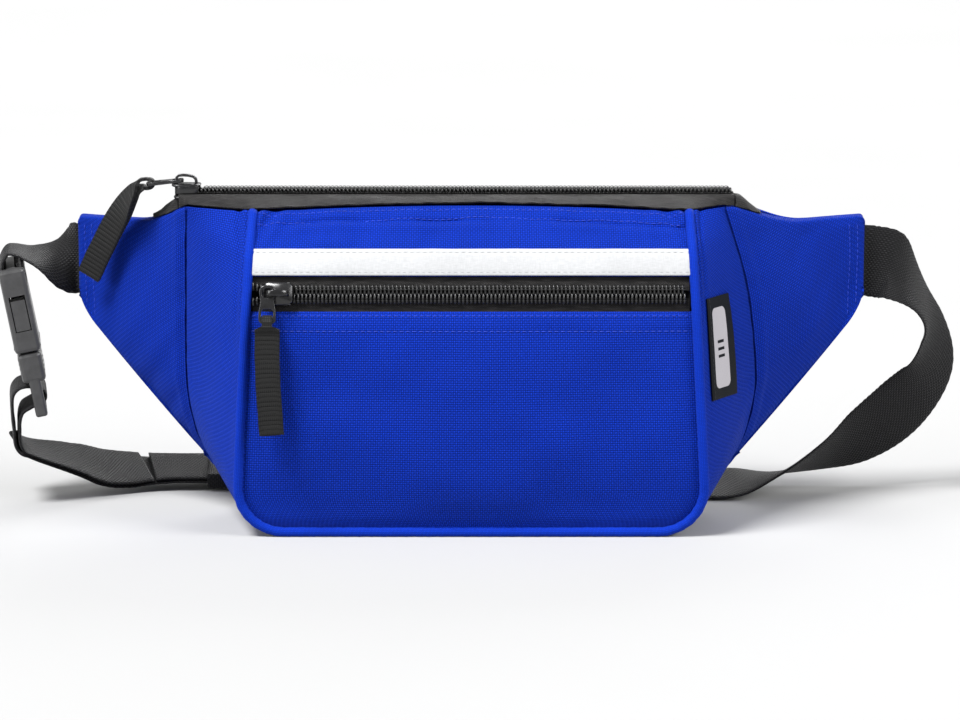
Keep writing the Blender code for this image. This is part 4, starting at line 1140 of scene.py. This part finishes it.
def make_slider(name, chain, body):
    """A cast slider: top plate with its shoulders, side flanges, under plate, post and arched crown."""
    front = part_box(body)[0][0]
    along, across, up = (chain.to_3x3() @ Vector(axis) for axis in ((1, 0, 0), (0, 1, 0), (0, 0, 1)))
    bits = Bits()

    def place(x, y, z):
        return chain @ Vector((front + x * MM, y * MM, z * MM))

    bits.add(*slider_plate(place, 3.0, 4.05, 0.0, 0.32))
    bits.add(*slider_plate(place, -1.88, -0.92, 0.8, 0.25))
    flange = block_ring(0.26 * MM, 1.5 * MM, 0.12 * MM)
    for sign in (-1, 1):
        path = [place(x, sign * y, 1.85) for x, y in ((2.4, 4.35), (5.0, 4.3), (8.5, 4.32), (11.2, 4.32))]
        bits.add(*sweep(path, up, lambda i: flange))
    post = [place(2.5, 0, z) for z in (-1.4, 0.5, 2.0, 3.5)]
    bits.add(*sweep(post, along, lambda i: block_ring(1.1 * MM, 1.2 * MM, 0.4 * MM)))
    arch = [place(x, 0, z) for x, z, _, _ in CROWN]
    bits.add(*sweep(arch, across, lambda i: block_ring(CROWN[i][3] * MM, CROWN[i][2] * MM, 0.25 * MM)))
    finish_piece(bits.build(name, METAL), body, [body])


def puller_frame(node):
    """Axes of a puller at rest: X across it, Y towards its tab, Z through it."""
    if node == "front_puller":
        chain = chain_frame("front").to_3x3()
        place = Vector(JOINTS["front_puller_turn"]["pos_m"])
        columns = (chain @ Vector((-1, 0, 0)), chain @ Vector((0, -1, 0)), chain @ Vector((0, 0, 1)))
    else:
        droop, reach = math.radians(6), 2.5 * MM
        down = Vector((-math.cos(droop), 0, -math.sin(droop)))
        place = Vector(JOINTS["main_puller_lift"]["pos_m"]) + down * reach
        columns = (Vector((0, 1, 0)), down, Vector((0, 1, 0)).cross(down))
    return Matrix.Translation(place) @ Matrix(columns).transposed().to_4x4()


PULLER_END = 12.4 * MM
PULLER_SIDE = ((0.9, -3.1), (2.2, -2.8), (3.1, -1.7), (3.3, -0.2), (3.0, 1.6), (2.75, 3.0),
               (3.0, 5.0), (3.35, 7.0), (3.5, 9.5), (3.4, 11.3), (2.6, 12.2), (1.4, 12.4))


def flat_casting(name, loops, thickness, soft):
    """A plate with softened edges from closed outlines: the first its own, the others its holes."""
    curve = bpy.data.curves.new(name, "CURVE")
    curve.dimensions = "2D"
    curve.fill_mode = "BOTH"
    curve.bevel_depth = soft
    curve.bevel_resolution = 2
    curve.extrude = thickness / 2 - soft
    curve.offset = -soft
    for loop in loops:
        spline = curve.splines.new("POLY")
        spline.points.add(len(loop) - 1)
        for point, (x, y) in zip(spline.points, loop):
            point.co = (x, y, 0, 1)
        spline.use_cyclic_u = True
    draft = bpy.data.objects.new(f"{name}_outline", curve)
    bpy.context.scene.collection.objects.link(draft)
    bpy.context.view_layer.update()
    mesh = bpy.data.meshes.new_from_object(draft.evaluated_get(bpy.context.evaluated_depsgraph_get()))
    bpy.data.objects.remove(draft, do_unlink=True)
    mesh.name = name
    mesh.materials.clear()
    return mesh


def make_puller(name, body):
    """A cast pull: a ring round the crown, narrow shoulders and a wide eye for the tab."""
    outline = [(x * MM, y * MM) for x, y in PULLER_SIDE]
    outline += [(-x, y) for x, y in outline[::-1]]
    ring_hole = block_ring(2.1 * MM, 1.9 * MM, 1.5 * MM, 6)
    eye = [(x, y + PULLER_END - EYE_BAR - 2.0 * MM)
           for x, y in block_ring(EYE_WIDTH / 2, 2.0 * MM, 1.6 * MM, 6)]
    mesh = flat_casting(name, (outline, ring_hole, eye), PULLER, 0.3 * MM)
    mesh.transform(puller_frame(body))
    close_mesh(mesh)
    mesh.shade_smooth()
    finish_piece(link(name, mesh, METAL), body, [body])


def hanging_route(puller, width, hang):
    """A tab's way from the puller's bar through listed steps (millimetres) and their widths."""
    bar = Vector((0, PULLER_END - EYE_BAR / 2, 0))
    start, clear = puller @ bar, puller @ (bar + Vector((0, EYE_BAR + 0.8 * MM, 0)))
    return Route([(start, width), (clear, width)]
                 + [(clear + Vector(step) * MM, across) for step, across in hang])


TAB_RIB, TAB_FOLD = 1.9 * MM, 0.16


def tab_share(u):
    """How far down its tab a share u of the webbing lies; it is below 0 in the fold over the bar."""
    return (abs(2 * u - 1) - TAB_FOLD) / (1 - TAB_FOLD)


def make_tab(name, route, body):
    """Narrow ribbed webbing folded over the puller's bar; the seal and seam that join its ends are not
    drawn.
    """
    layer = (TAB - GAP) / 2
    around, over = PULLER / 2 + 2 * GAP + layer / 2, EYE_BAR / 2 + 2 * GAP + layer / 2
    narrow, length = EYE_WIDTH - 3 * GAP, route.marks[-1]

    def in_fold(side, turn, v):
        centre, across, face = route.frame(0)
        along = across.cross(face)
        spot = centre - along * over * math.sin(turn) + face * side * around * math.cos(turn)
        return spot + across * (v - 0.5) * narrow

    def place(u, v):
        side, down = -1 if u < 0.5 else 1, tab_share(u)
        if down < 0:
            return in_fold(side, (1 - abs(2 * u - 1) / TAB_FOLD) * math.pi / 2, v)
        centre, across, face = route.frame(down)
        s = down * length
        spread = smoothstep(0.9 * EYE_BAR, EYE_BAR + 1.5 * MM, s)
        offset = lerp(around, (layer + GAP) / 2, smoothstep(EYE_BAR, EYE_BAR + 4 * MM, s))
        notch = 0.25 * MM * (0.5 - 0.5 * math.cos(2 * math.pi * s / TAB_RIB))
        width = lerp(narrow, TAB_WIDTH, spread) - notch * spread
        sway = 0.25 * MM * wander((s, 0, 0), 9 * MM, 2.0)
        return centre + face * side * offset + across * ((v - 0.5) * width + sway)

    def relief(u, v, point):
        # ribs run straight across the tab and are proud on both its faces
        s = max(0.0, tab_share(u)) * length
        rib = abs(math.sin(math.pi * s / TAB_RIB))**0.6 * 0.34 * MM - 0.2 * MM
        return rib * (1 - abs(2 * v - 1)**8)

    piece = sheet(name, 420, 12, place, TAB_WEB, layer, relief, offset=0.0)
    finish_piece(piece, body, [body])


def make_front_zip():
    half = pocket_half(FRONT_ZIP_Z, RIM_CLEAR) - 0.6 * MM
    chain = chain_frame("front")

    def tape(bottom, top):
        def place(u, v):
            return front_point((2 * u - 1) * half, lerp(bottom, top, v), -(PANEL + GAP))
        return place

    def relief(u, v, point):
        return 0.12 * MM * wander(point, 7 * MM, 1.0)

    below = (FRONT_ZIP_Z - FRONT_TAPE_HALF, FRONT_ZIP_Z - TAPE_SLIT_HALF)
    above = (FRONT_ZIP_Z + TAPE_SLIT_HALF, FRONT_ZIP_Z + FRONT_TAPE_HALF)
    for label, sign, edges in (("lower", -1, below), ("upper", 1, above)):
        piece = sheet(f"front_tape_{label}", 200, 20, tape(*edges), TAPE_CLOTH, TAPE, relief)
        finish_piece(piece, "bag", [f"front_zip_tape_{label}"])
        span = [corner[0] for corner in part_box(f"front_zip_coil_{label}")]
        make_coil(f"front_coil_{label}", chain, span, sign, f"front_zip_coil_{label}")
    make_chain_thread("front_chain_thread", chain, (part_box("front_slider")[1][0] + 1 * MM, span[1]))
    make_parted_teeth(chain)
    make_slider("front_slider_cast", chain, "front_slider")
    make_puller("front_puller_cast", "front_puller")
    sideways = (1, 0, 0)
    hang = (((0, -1.2, -12), sideways), ((0.6, -2.4, -27), sideways), ((1.6, -3.0, -43), sideways))
    route = hanging_route(puller_frame("front_puller"), sideways, hang)
    make_tab("front_pull_tab_webbing", route, "front_pull_tab")


MAIN_LEFT, MAIN_RIGHT = seam_point(-1, 0).x - 3 * MM, seam_point(1, 0).x + 4 * MM
LEVEL = (SLIDER_WIDTH / 2 - TAPE_SLIT_HALF) * 1.25


def main_tape_front(u, v):
    """The front tape: up from the bag's top edge, then level to the chain."""
    x = lerp(MAIN_LEFT, MAIN_RIGHT, u)
    slit = MAIN_ZIP_Y - TAPE_SLIT_HALF
    if v > 0.5:
        return Vector((x, lerp(slit - LEVEL, slit, 2 * v - 1), MAIN_ZIP_Z))
    edge = top_edge(x) + Vector((0, 0.7 * MM, 1.1 * MM))
    edge.y = min(edge.y, slit - LEVEL * 0.8 - 0.5 * MM)
    spot = edge.lerp(Vector((x, slit - LEVEL, MAIN_ZIP_Z)), 2 * v)
    spot.z += 0.5 * MM * math.sin(math.pi * 2 * v)
    return spot


def main_tape_back(u, v):
    """The back tape: level from the chain, then down or up to the back panel's top."""
    x = lerp(MAIN_LEFT, MAIN_RIGHT, u)
    slit = MAIN_ZIP_Y + TAPE_SLIT_HALF
    if v < 0.5:
        return Vector((x, lerp(slit, slit + LEVEL, 2 * v), MAIN_ZIP_Z))
    rear = Vector((x, BACK_INNER_Y, back_top(x)))
    spot = Vector((x, slit + LEVEL, MAIN_ZIP_Z)).lerp(rear, 2 * v - 1)
    spot.z += 0.5 * MM * math.sin(math.pi * (2 * v - 1))
    return spot


def main_tape_relief(u, v, point):
    loose = smoothstep(3 * MM, 7 * MM, abs(point[1] - MAIN_ZIP_Y))
    streaks = 0.12 * MM * math.sin((point[0] + 2.2 * point[1]) / (1.1 * MM))
    slack = 0.5 * MM * wander(point, 13 * MM, 3.0) + 0.25 * MM * wander(point, 5 * MM, 6.0)
    return (slack + streaks) * loose


def make_main_zip():
    chain = chain_frame("main")
    for label, place in (("front", main_tape_front), ("back", main_tape_back)):
        piece = sheet(f"main_tape_{label}", 240, 16, place, TAPE_CLOTH, TAPE, main_tape_relief)
        finish_piece(piece, "bag", [f"main_zip_tape_{label}"])
    span = [corner[0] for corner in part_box("main_zip_coil_front")]
    make_coil("main_coil_front", chain, span, -1, "main_zip_coil_front")
    make_coil("main_coil_back", chain, span, 1, "main_zip_coil_back")
    make_chain_thread("main_chain_thread", chain, (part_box("main_slider")[1][0] + 1 * MM, span[1]))
    make_slider("main_slider_cast", chain, "main_slider")
    make_puller("main_puller_cast", "main_puller")
    hang = (((-4, 1, -4), (0.3, -0.9, -0.4)), ((-11, 6, -15), (0.65, -0.35, -0.6)),
            ((-18, 10, -28), (0.7, -0.2, -0.6)), ((-24, 14, -40), (0.75, -0.15, -0.6)))
    route = hanging_route(puller_frame("main_puller"), (0, -1, 0), hang)
    make_tab("main_pull_tab_webbing", route, "main_pull_tab")
    tab = bpy.data.objects["main_pull_tab_webbing"]
    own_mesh(tab)
    make_end_tab(-1, MAIN_LEFT, "main_zip_end_left", 2.6 * MM)
    make_end_tab(1, MAIN_RIGHT, "main_zip_end_right", GAP)


def make_end_tab(side, start_x, node, drop):
    """The zip's end, folded down into the corner where the wing closes; the stitching across it is not
    drawn.
    """
    length, half = 11 * MM, 5 * MM

    def place(u, v):
        down = u if side > 0 else 1 - u
        x = start_x + side * (GAP + length * down)
        mouth = wing_point(side, max(0.0, abs(x) - abs(seam_point(side, 0).x)) / WING_LENGTH, 1)
        front = top_edge(x) + Vector((0, 0.7 * MM, 1.0 * MM))
        level = lerp(MAIN_ZIP_Z - drop, mouth.z + 1.5 * MM, smoothstep(0, 1, down))
        middle = Vector((x, lerp(MAIN_ZIP_Y + half, mouth.y + 9 * MM, down), level))
        rear = Vector((x, BACK_INNER_Y, back_top(x) - 1 * MM))
        middle.y = min(middle.y, BACK_INNER_Y - 1 * MM)
        spot = front.lerp(middle, v / 0.6) if v < 0.6 else middle.lerp(rear, (v - 0.6) / 0.4)
        spot.z += (0.8 * MM + 1.2 * MM * (1 - down)) * math.sin(math.pi * min(1.0, v / 0.6))
        return spot

    def relief(u, v, point):
        return 0.3 * MM * math.sin(v * 9) + 0.5 * MM * wander(point, 5 * MM, 2.0)

    piece = sheet(f"{node}_fold", 40, 30, place, TAPE_CLOTH, TAPE, relief)
    finish_piece(piece, "bag", [node])


# ---------------------------------------------------------------- label

LABEL_LOW, LABEL_HEIGHT = BAG_HEIGHT * 0.42, 42 * MM
LABEL_START, LABEL_END = 0.12, 0.58                # shares of the gusset's depth
LABEL_BLACK, LABEL_PALE = (0.006, 0.007, 0.009), (0.40, 0.385, 0.41)
# the printed shape and its bars, in millimetres across and up the label
MARK_MIDDLE, MARK_HALF_WIDTH, MARK_HALF_HEIGHT, MARK_CORNER = 9.0, 3.2, 14.0, 2.6
BARS, BAR_HALF_LENGTH, BAR_HALF = (-3.5, -0.5, 2.5), 2.6, 0.6


def label_material():
    """Black woven label with a plain pale upright shape and three short bars on it."""
    finish = Finish("side_label_weave", LABEL_BLACK, 0.6, Specular_IOR_Level=0.1)
    x, y = finish.along_and_across()
    beside = abs(x - MARK_MIDDLE)
    dx = finish.math("MAXIMUM", beside - MARK_HALF_WIDTH, 0.0)
    dy = finish.math("MAXIMUM", abs(y) - MARK_HALF_HEIGHT, 0.0)
    pale = (dx * dx + dy * dy) ** 0.5 < MARK_CORNER
    for centre in BARS:
        bar = (abs(y - centre) < BAR_HALF) * (beside < BAR_HALF_LENGTH)
        pale = pale - bar * pale
    height = (y / 0.36).humps() * 0.6 + (x / 0.3).humps() * 0.4
    mixed = finish.mix(pale, (*LABEL_BLACK, 1), (*LABEL_PALE, 1))
    finish.set("Base Color", finish.tinted(finish.ramp(height, 0, 1, 0.75, 1.15), mixed))
    finish.set("Normal", finish.bump(height + pale * 2.0, 0.05 * MM))
    return finish.material


def label_surface(u, v):
    """A level patch of the right side, found by stepping up the slanting gusset."""
    level, share = LABEL_LOW + v * LABEL_HEIGHT, lerp(LABEL_START, LABEL_END, u)
    z = level
    for _ in range(4):
        z += level - gusset_point(1, z, share).z
    along = gusset_point(1, z, 1) - gusset_point(1, z, 0)
    outward = along.cross(Vector((0, 0, 1))).normalized()
    return gusset_point(1, z, share) + outward * (2 * GAP + STRIPE)


def label_relief(u, v, point):
    width = 14 * MM
    lift = 0.5 * MM * smoothstep(0.4, 1.0, u) * (0.4 + 0.6 * math.sin(v * math.pi))
    edge = min(u * width, (1 - u) * width, v * LABEL_HEIGHT, (1 - v) * LABEL_HEIGHT)
    return lift + hem(edge, 0.8 * MM, 0.35 * MM) + 0.1 * MM * wander(point, 6 * MM)


def make_label():
    piece = sheet("side_label_woven", 30, 70, label_surface, label_material(), STRIPE, label_relief)
    finish_piece(piece, "bag", ["side_label"])
    sew("label_stitching", BLACK_THREAD, "label", label_surface, label_relief,
        [[(0.07, v) for v in shares(80)]], pitch=2.2 * MM, length=1.6 * MM, radius=0.14 * MM)


# ---------------------------------------------------------------- webbing

WING_END_Y = inside_back(WING_END_X, WEB_DEPTH)
BUCKLE_TOP = Vector((-WING_END_X - 29.5 * MM, WING_END_Y + 2 * MM, WING_MIDDLE_Z - 2.3 * MM))
BUCKLE = (Matrix.Translation(BUCKLE_TOP) @ Matrix.Rotation(math.radians(7.4), 4, "Z")
          @ Matrix.Rotation(math.radians(-10.8), 4, "Y"))
FLAT_WIDTH = Vector((0, 0.985, 0.17)).normalized()
KEEPER_X, PAIR_Y, PAIR_Z = -104 * MM, 75 * MM, 7.1 * MM
KEEPER_LENGTH, KEEPER = 19 * MM, 1.3 * MM


def in_buckle(through, along, width=(0, 1, 0)):
    """A station by millimetres through the buckle's face and down from its top."""
    return BUCKLE @ Vector((through * MM, 0, -along * MM)), BUCKLE.to_3x3() @ Vector(width)


def beside_wing(side, x, y, z, width):
    """A station by millimetres from the middle of a wing's end."""
    return Vector((side * (WING_END_X + x * MM), WING_END_Y + y * MM, z * DRAWN_STRAP_MM)), width


def sewn_in(side, z, depth):
    """A station between a wing's two layers, a depth inside its end."""
    x = WING_END_X - depth * MM
    return Vector((side * x, inside_back(x, WEB_DEPTH), z * DRAWN_STRAP_MM)), (0, 0, 1)


def on_floor(x, y, lift, width):
    """A station whose webbing just clears the floor, plus a lift."""
    width = Vector(width).normalized()
    reach = abs(width.z) * STRAP_WIDTH / 2 + abs(width.y) * STRAP / 2
    return Vector((x, y * MM, reach + lift * MM + GAP)), width


def left_route():
    """From inside the left wing, round the socket's bar and back on itself."""
    return Route([
        sewn_in(-1, 104, 12), sewn_in(-1, 104, 6), sewn_in(-1, 104, 1), sewn_in(-1, 104, -1.5),
        beside_wing(-1, 6.5, 1.3, 104, (0, 0.6, 0.8)),
        beside_wing(-1, 12.5, 1.8, 104.4, (0, 0.93, 0.36)),
        beside_wing(-1, 20.5, 2, 105.8, (-0.1, 0.98, 0.1)),
        in_buckle(0.8, -5.6), in_buckle(-2.9, -2.4), in_buckle(-3.6, 1.0), in_buckle(-3.0, 4.8),
        in_buckle(0, 6.5), in_buckle(2.9, 4.8), in_buckle(3.4, 1.0), in_buckle(3.0, -1.4)])


def pair_route():
    """The middle of the two layers that run from the keeper towards the buckle."""
    left = -WING_END_X
    stations = [(Vector((KEEPER_X + step * MM, PAIR_Y, PAIR_Z)), FLAT_WIDTH)
                for step in (24, 10, -4, -16, -26)]
    stations += [on_floor(left + 20 * MM, 71.5, 3.6, (0.1, 0.97, 0.2)),
                 on_floor(left + 7 * MM, 64.5, 5.5, (0.1, 0.97, 0.2)),
                 on_floor(left - 4.5 * MM, 58, 11, (0.05, 0.99, 0.12))]
    return Route(stations)


def strap_routes():
    """The strap from the right wing to the keeper, and its end through the buckle."""
    pair = pair_route()
    split, right = 0.62, WING_END_X

    def layer(t, sign):
        centre, across, face = pair.frame(t)
        return centre + face * LAYER_STEP / 2 * sign, across

    main = [
        sewn_in(1, 104, 12), sewn_in(1, 103.7, 6), sewn_in(1, 103.3, 1), sewn_in(1, 103, -1.5),
        beside_wing(1, 13, 3.2, 100, (-0.07, 0.25, 0.965)),
        beside_wing(1, 24.5, 9.2, 88, (0.03, 0.8, 0.6)),
        beside_wing(1, 31, 15.2, 72, (0.4, 0.88, -0.22)),
        beside_wing(1, 30.5, 19.2, 53, (0.66, 0.66, -0.36)),
        beside_wing(1, 18.5, 19.2, 37, (0.77, 0.415, -0.484)),
        beside_wing(1, 2, 17.2, 24.5, (0.77, 0.516, -0.375)),
        beside_wing(1, -16.6, 14.2, 15.3, (0.405, 0.853, -0.33)),
        on_floor(right - 34 * MM, 55, 5.2, (0, 0.985, -0.17)),
        on_floor(right - 52 * MM, 54.5, 0.9, (0, 0.977, 0.21)),
        on_floor(right - 74 * MM, 56, 0.6, FLAT_WIDTH),
        on_floor(0, 66, 0.8, FLAT_WIDTH),
    ] + [layer(split * i / 10, -1) for i in range(11)]
    end = [layer(lerp(split + 0.03, 1, i / 6), -1) for i in range(7)]
    end += [in_buckle(-10.6, 77, (-0.02, 1, 0)), in_buckle(-10.4, 68), in_buckle(-8.0, 62),
            in_buckle(-4.0, 60.2), in_buckle(0, 59.2), in_buckle(2.6, 57.9), in_buckle(3.2, 55.75),
            in_buckle(2.6, 53.6), in_buckle(0, 52.2), in_buckle(-4.0, 51.0), in_buckle(-7.6, 51.4),
            in_buckle(-10.4, 54), in_buckle(-11.9, 60), in_buckle(-12.8, 68), in_buckle(-12.6, 77)]
    end += [layer(lerp(1, 0.04, i / 14), 1) for i in range(15)]
    return Route(main), Route(end)


def webbing(name, route, segments):
    """Flat webbing with rounded selvedges and faint lengthwise waviness."""
    half, thick, columns = STRAP_WIDTH / 2, STRAP / 2, 22
    cuts = [math.sin(math.pi * (k / columns - 0.5)) for k in range(columns + 1)]
    outline = [(c * half, thick * (1 - abs(c)**14)**0.5) for c in cuts]
    outline += [(c * half, -thick * (1 - abs(c)**14)**0.5) for c in cuts[::-1][1:-1]]
    outline.append(outline[0])
    around = [0.0]
    for a, b in zip(outline, outline[1:]):
        around.append(around[-1] + math.dist(a, b))
    rings, uvs = [], []
    for i in range(segments + 1):
        t = i / segments
        centre, across, face = route.frame(t)
        s = t * route.marks[-1]
        wave = 0.12 * MM * wander((s, 0, 0), 24 * MM, 5.0)
        rings.append([])
        for k, (a, b) in enumerate(outline):
            scallop = 0.12 * MM * math.sin(2 * math.pi * s / (2.9 * MM)) * abs(a / half)**10
            rings[-1].append(centre + across * (a * (1 + scallop / half)) + face * (b + wave))
            uvs.append((s / MM, (around[k] - around[columns] if k > columns else around[k]) / MM))
    return tube(name, rings, uvs, WEBBING)


def make_webbing():
    main, end = strap_routes()
    for name, node, route, segments in (("left_webbing_strip", "left_webbing", left_route(), 240),
                                        ("waist_strap", "strap", main, 700)):
        finish_piece(webbing(name, route, segments), "bag", [node])
    tail = webbing("strap_end_in_buckle", end, 520)
    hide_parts("strap_buckle_end")
    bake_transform(tail)


def make_keeper():
    """A flat loop of webbing round both strap layers, drawn as one closed loop without the overlap and
    seam of its ends.
    """
    sideways = Vector((1, 0, 0))
    up = sideways.cross(FLAT_WIDTH)
    half_a, half_b = STRAP_WIDTH / 2 + GAP + KEEPER / 2, STRAP + 1.5 * GAP + KEEPER / 2
    middle = Vector((KEEPER_X, PAIR_Y, PAIR_Z))
    loop = resampled(block_ring(half_a, half_b, 1.1 * MM, 8), 0.8 * MM)
    path = [middle + FLAT_WIDTH * a + up * b for a, b in loop]
    cut = resampled(block_ring(KEEPER / 2, KEEPER_LENGTH / 2, 0.5 * MM, 4), 1.2 * MM)
    rings, uvs, run = [], [], 0.0
    for i in range(len(path) + 1):
        centre, after, before = path[i % len(path)], path[(i + 1) % len(path)], path[i - 1]
        run += (centre - before).length if i else 0.0
        out = (after - before).normalized().cross(sideways).normalized()
        rings.append([centre + out * a + sideways * b for a, b in cut + cut[:1]])
        uvs += [(run / MM, b / MM) for _, b in cut + cut[:1]]
    piece = tube("strap_keeper_loop", rings, uvs, WEBBING)
    finish_piece(piece, "keeper", ["strap_keeper"])


# ---------------------------------------------------------------- buckle

GRIP_ROWS, MOUTH_ROWS = (39.5, 41.5, 43.5, 45.5), (3.0, 34.2)


def soften(node):
    """A moulded body's own CAD shape, with soft arrises."""
    part = bpy.data.objects[node]
    part.data.materials.clear()
    part.data.materials.append(PLASTIC)
    bevel = part.modifiers.new("Arrises", "BEVEL")
    bevel.width = 0.35 * MM
    bevel.segments = 3
    bevel.limit_method = "ANGLE"
    bevel.angle_limit = math.radians(35)
    bevel.harden_normals = True
    part.data.shade_smooth()


def buckle_bar(bits, along, through, half_wide, radius):
    """A raised bar across the buckle's face, at millimetres along and through it."""
    places = (-half_wide, -half_wide + 0.5 * MM, 0, half_wide - 0.5 * MM, half_wide)
    fat = (0.3, 1, 1, 1, 0.3)
    path = [BUCKLE @ Vector((through * MM, y, -along * MM)) for y in places]
    up = BUCKLE.to_3x3() @ Vector((1, 0, 0))
    bits.add(*sweep(path, up, lambda i: ring(radius * fat[i], 10)))


def make_buckle():
    """The buckle keeps its CAD bodies, and gains finger grips and a raised border on its socket."""
    for node in ("buckle_socket", "buckle_plug", "buckle_arm_front", "buckle_arm_back"):
        soften(node)
    grips, ribs = Bits(), Bits()
    for face in (-1, 1):
        for along in GRIP_ROWS:
            buckle_bar(grips, along, face * 4.75, 12.5 * MM, 0.5 * MM)
        for along in MOUTH_ROWS:
            buckle_bar(ribs, along, face * 5.35, 15.5 * MM, 0.45 * MM)
    finish_piece(grips.build("buckle_grips", PLASTIC), "buckle_plug")
    finish_piece(ribs.build("buckle_ribs", PLASTIC), "bag")


# ---------------------------------------------------------------- floor, light and camera

def soft_light(name, away, strength, softness):
    """A large, distant softbox: away is the direction it stands in, softness its width in degrees."""
    data = bpy.data.lights.new(name, "SUN")
    data.energy = strength
    data.angle = math.radians(softness)
    lamp = bpy.data.objects.new(name, data)
    bpy.context.scene.collection.objects.link(lamp)
    lamp.rotation_euler = (-Vector(away)).to_track_quat("-Z", "Y").to_euler()


def make_floor():
    pale = Finish("pale_floor", (0.40, 0.40, 0.40), 0.95, Specular_IOR_Level=0.0)
    spots = pale.noise(pale.place(), 3.0, 3.0)
    pale.set("Base Color", pale.tinted(pale.ramp(spots, 0.3, 0.7, 0.99, 1.01)))
    bm = bmesh.new()
    bmesh.ops.create_grid(bm, x_segments=8, y_segments=8, size=6.0)
    mesh = bpy.data.meshes.new("floor")
    bm.to_mesh(mesh)
    bm.free()
    floor = link("floor", mesh, pale.material)
    floor.location.z = -0.2 * MM


def make_light():
    world = bpy.data.worlds.new("studio")
    bpy.context.scene.world = world
    world.use_nodes = True
    background = world.node_tree.nodes["Background"]
    background.inputs["Color"].default_value = (1, 1, 1, 1)
    background.inputs["Strength"].default_value = 0.32
    soft_light("key", (-0.5, -0.5, 1.1), 5.2, 20)
    soft_light("left", (-1.0, -0.5, 0.45), 1.5, 30)
    soft_light("right", (1.0, -0.55, 0.7), 2.5, 30)
    soft_light("back", (0.3, 1.0, 0.6), 1.3, 30)
    bpy.context.scene.view_settings.view_transform = "Standard"


def make_camera():
    data = bpy.data.cameras.new("camera")
    data.sensor_width = 36
    data.lens = 148
    data.clip_end = 20
    camera = bpy.data.objects.new("camera", data)
    bpy.context.scene.collection.objects.link(camera)
    elevation, distance = math.radians(10), 1.626
    aim = Vector((3.6 * MM, 0, 67.9 * MM))
    away = Vector((0, -math.cos(elevation), math.sin(elevation)))
    camera.location = aim + away * distance
    camera.rotation_euler = (-away).to_track_quat("-Z", "Y").to_euler()
    bpy.context.scene.camera = camera


make_front_pocket()
sew_front_pocket()
make_piping()
make_gusset()
make_wing(-1, "wing_left_cloth", "wing_left_front")
make_wing(1, "wing_right_cloth", "wing_right_front")
make_back()
make_front_zip()
make_main_zip()
make_buckle()
make_label()
make_webbing()
make_keeper()
make_floor()
make_light()
make_camera()
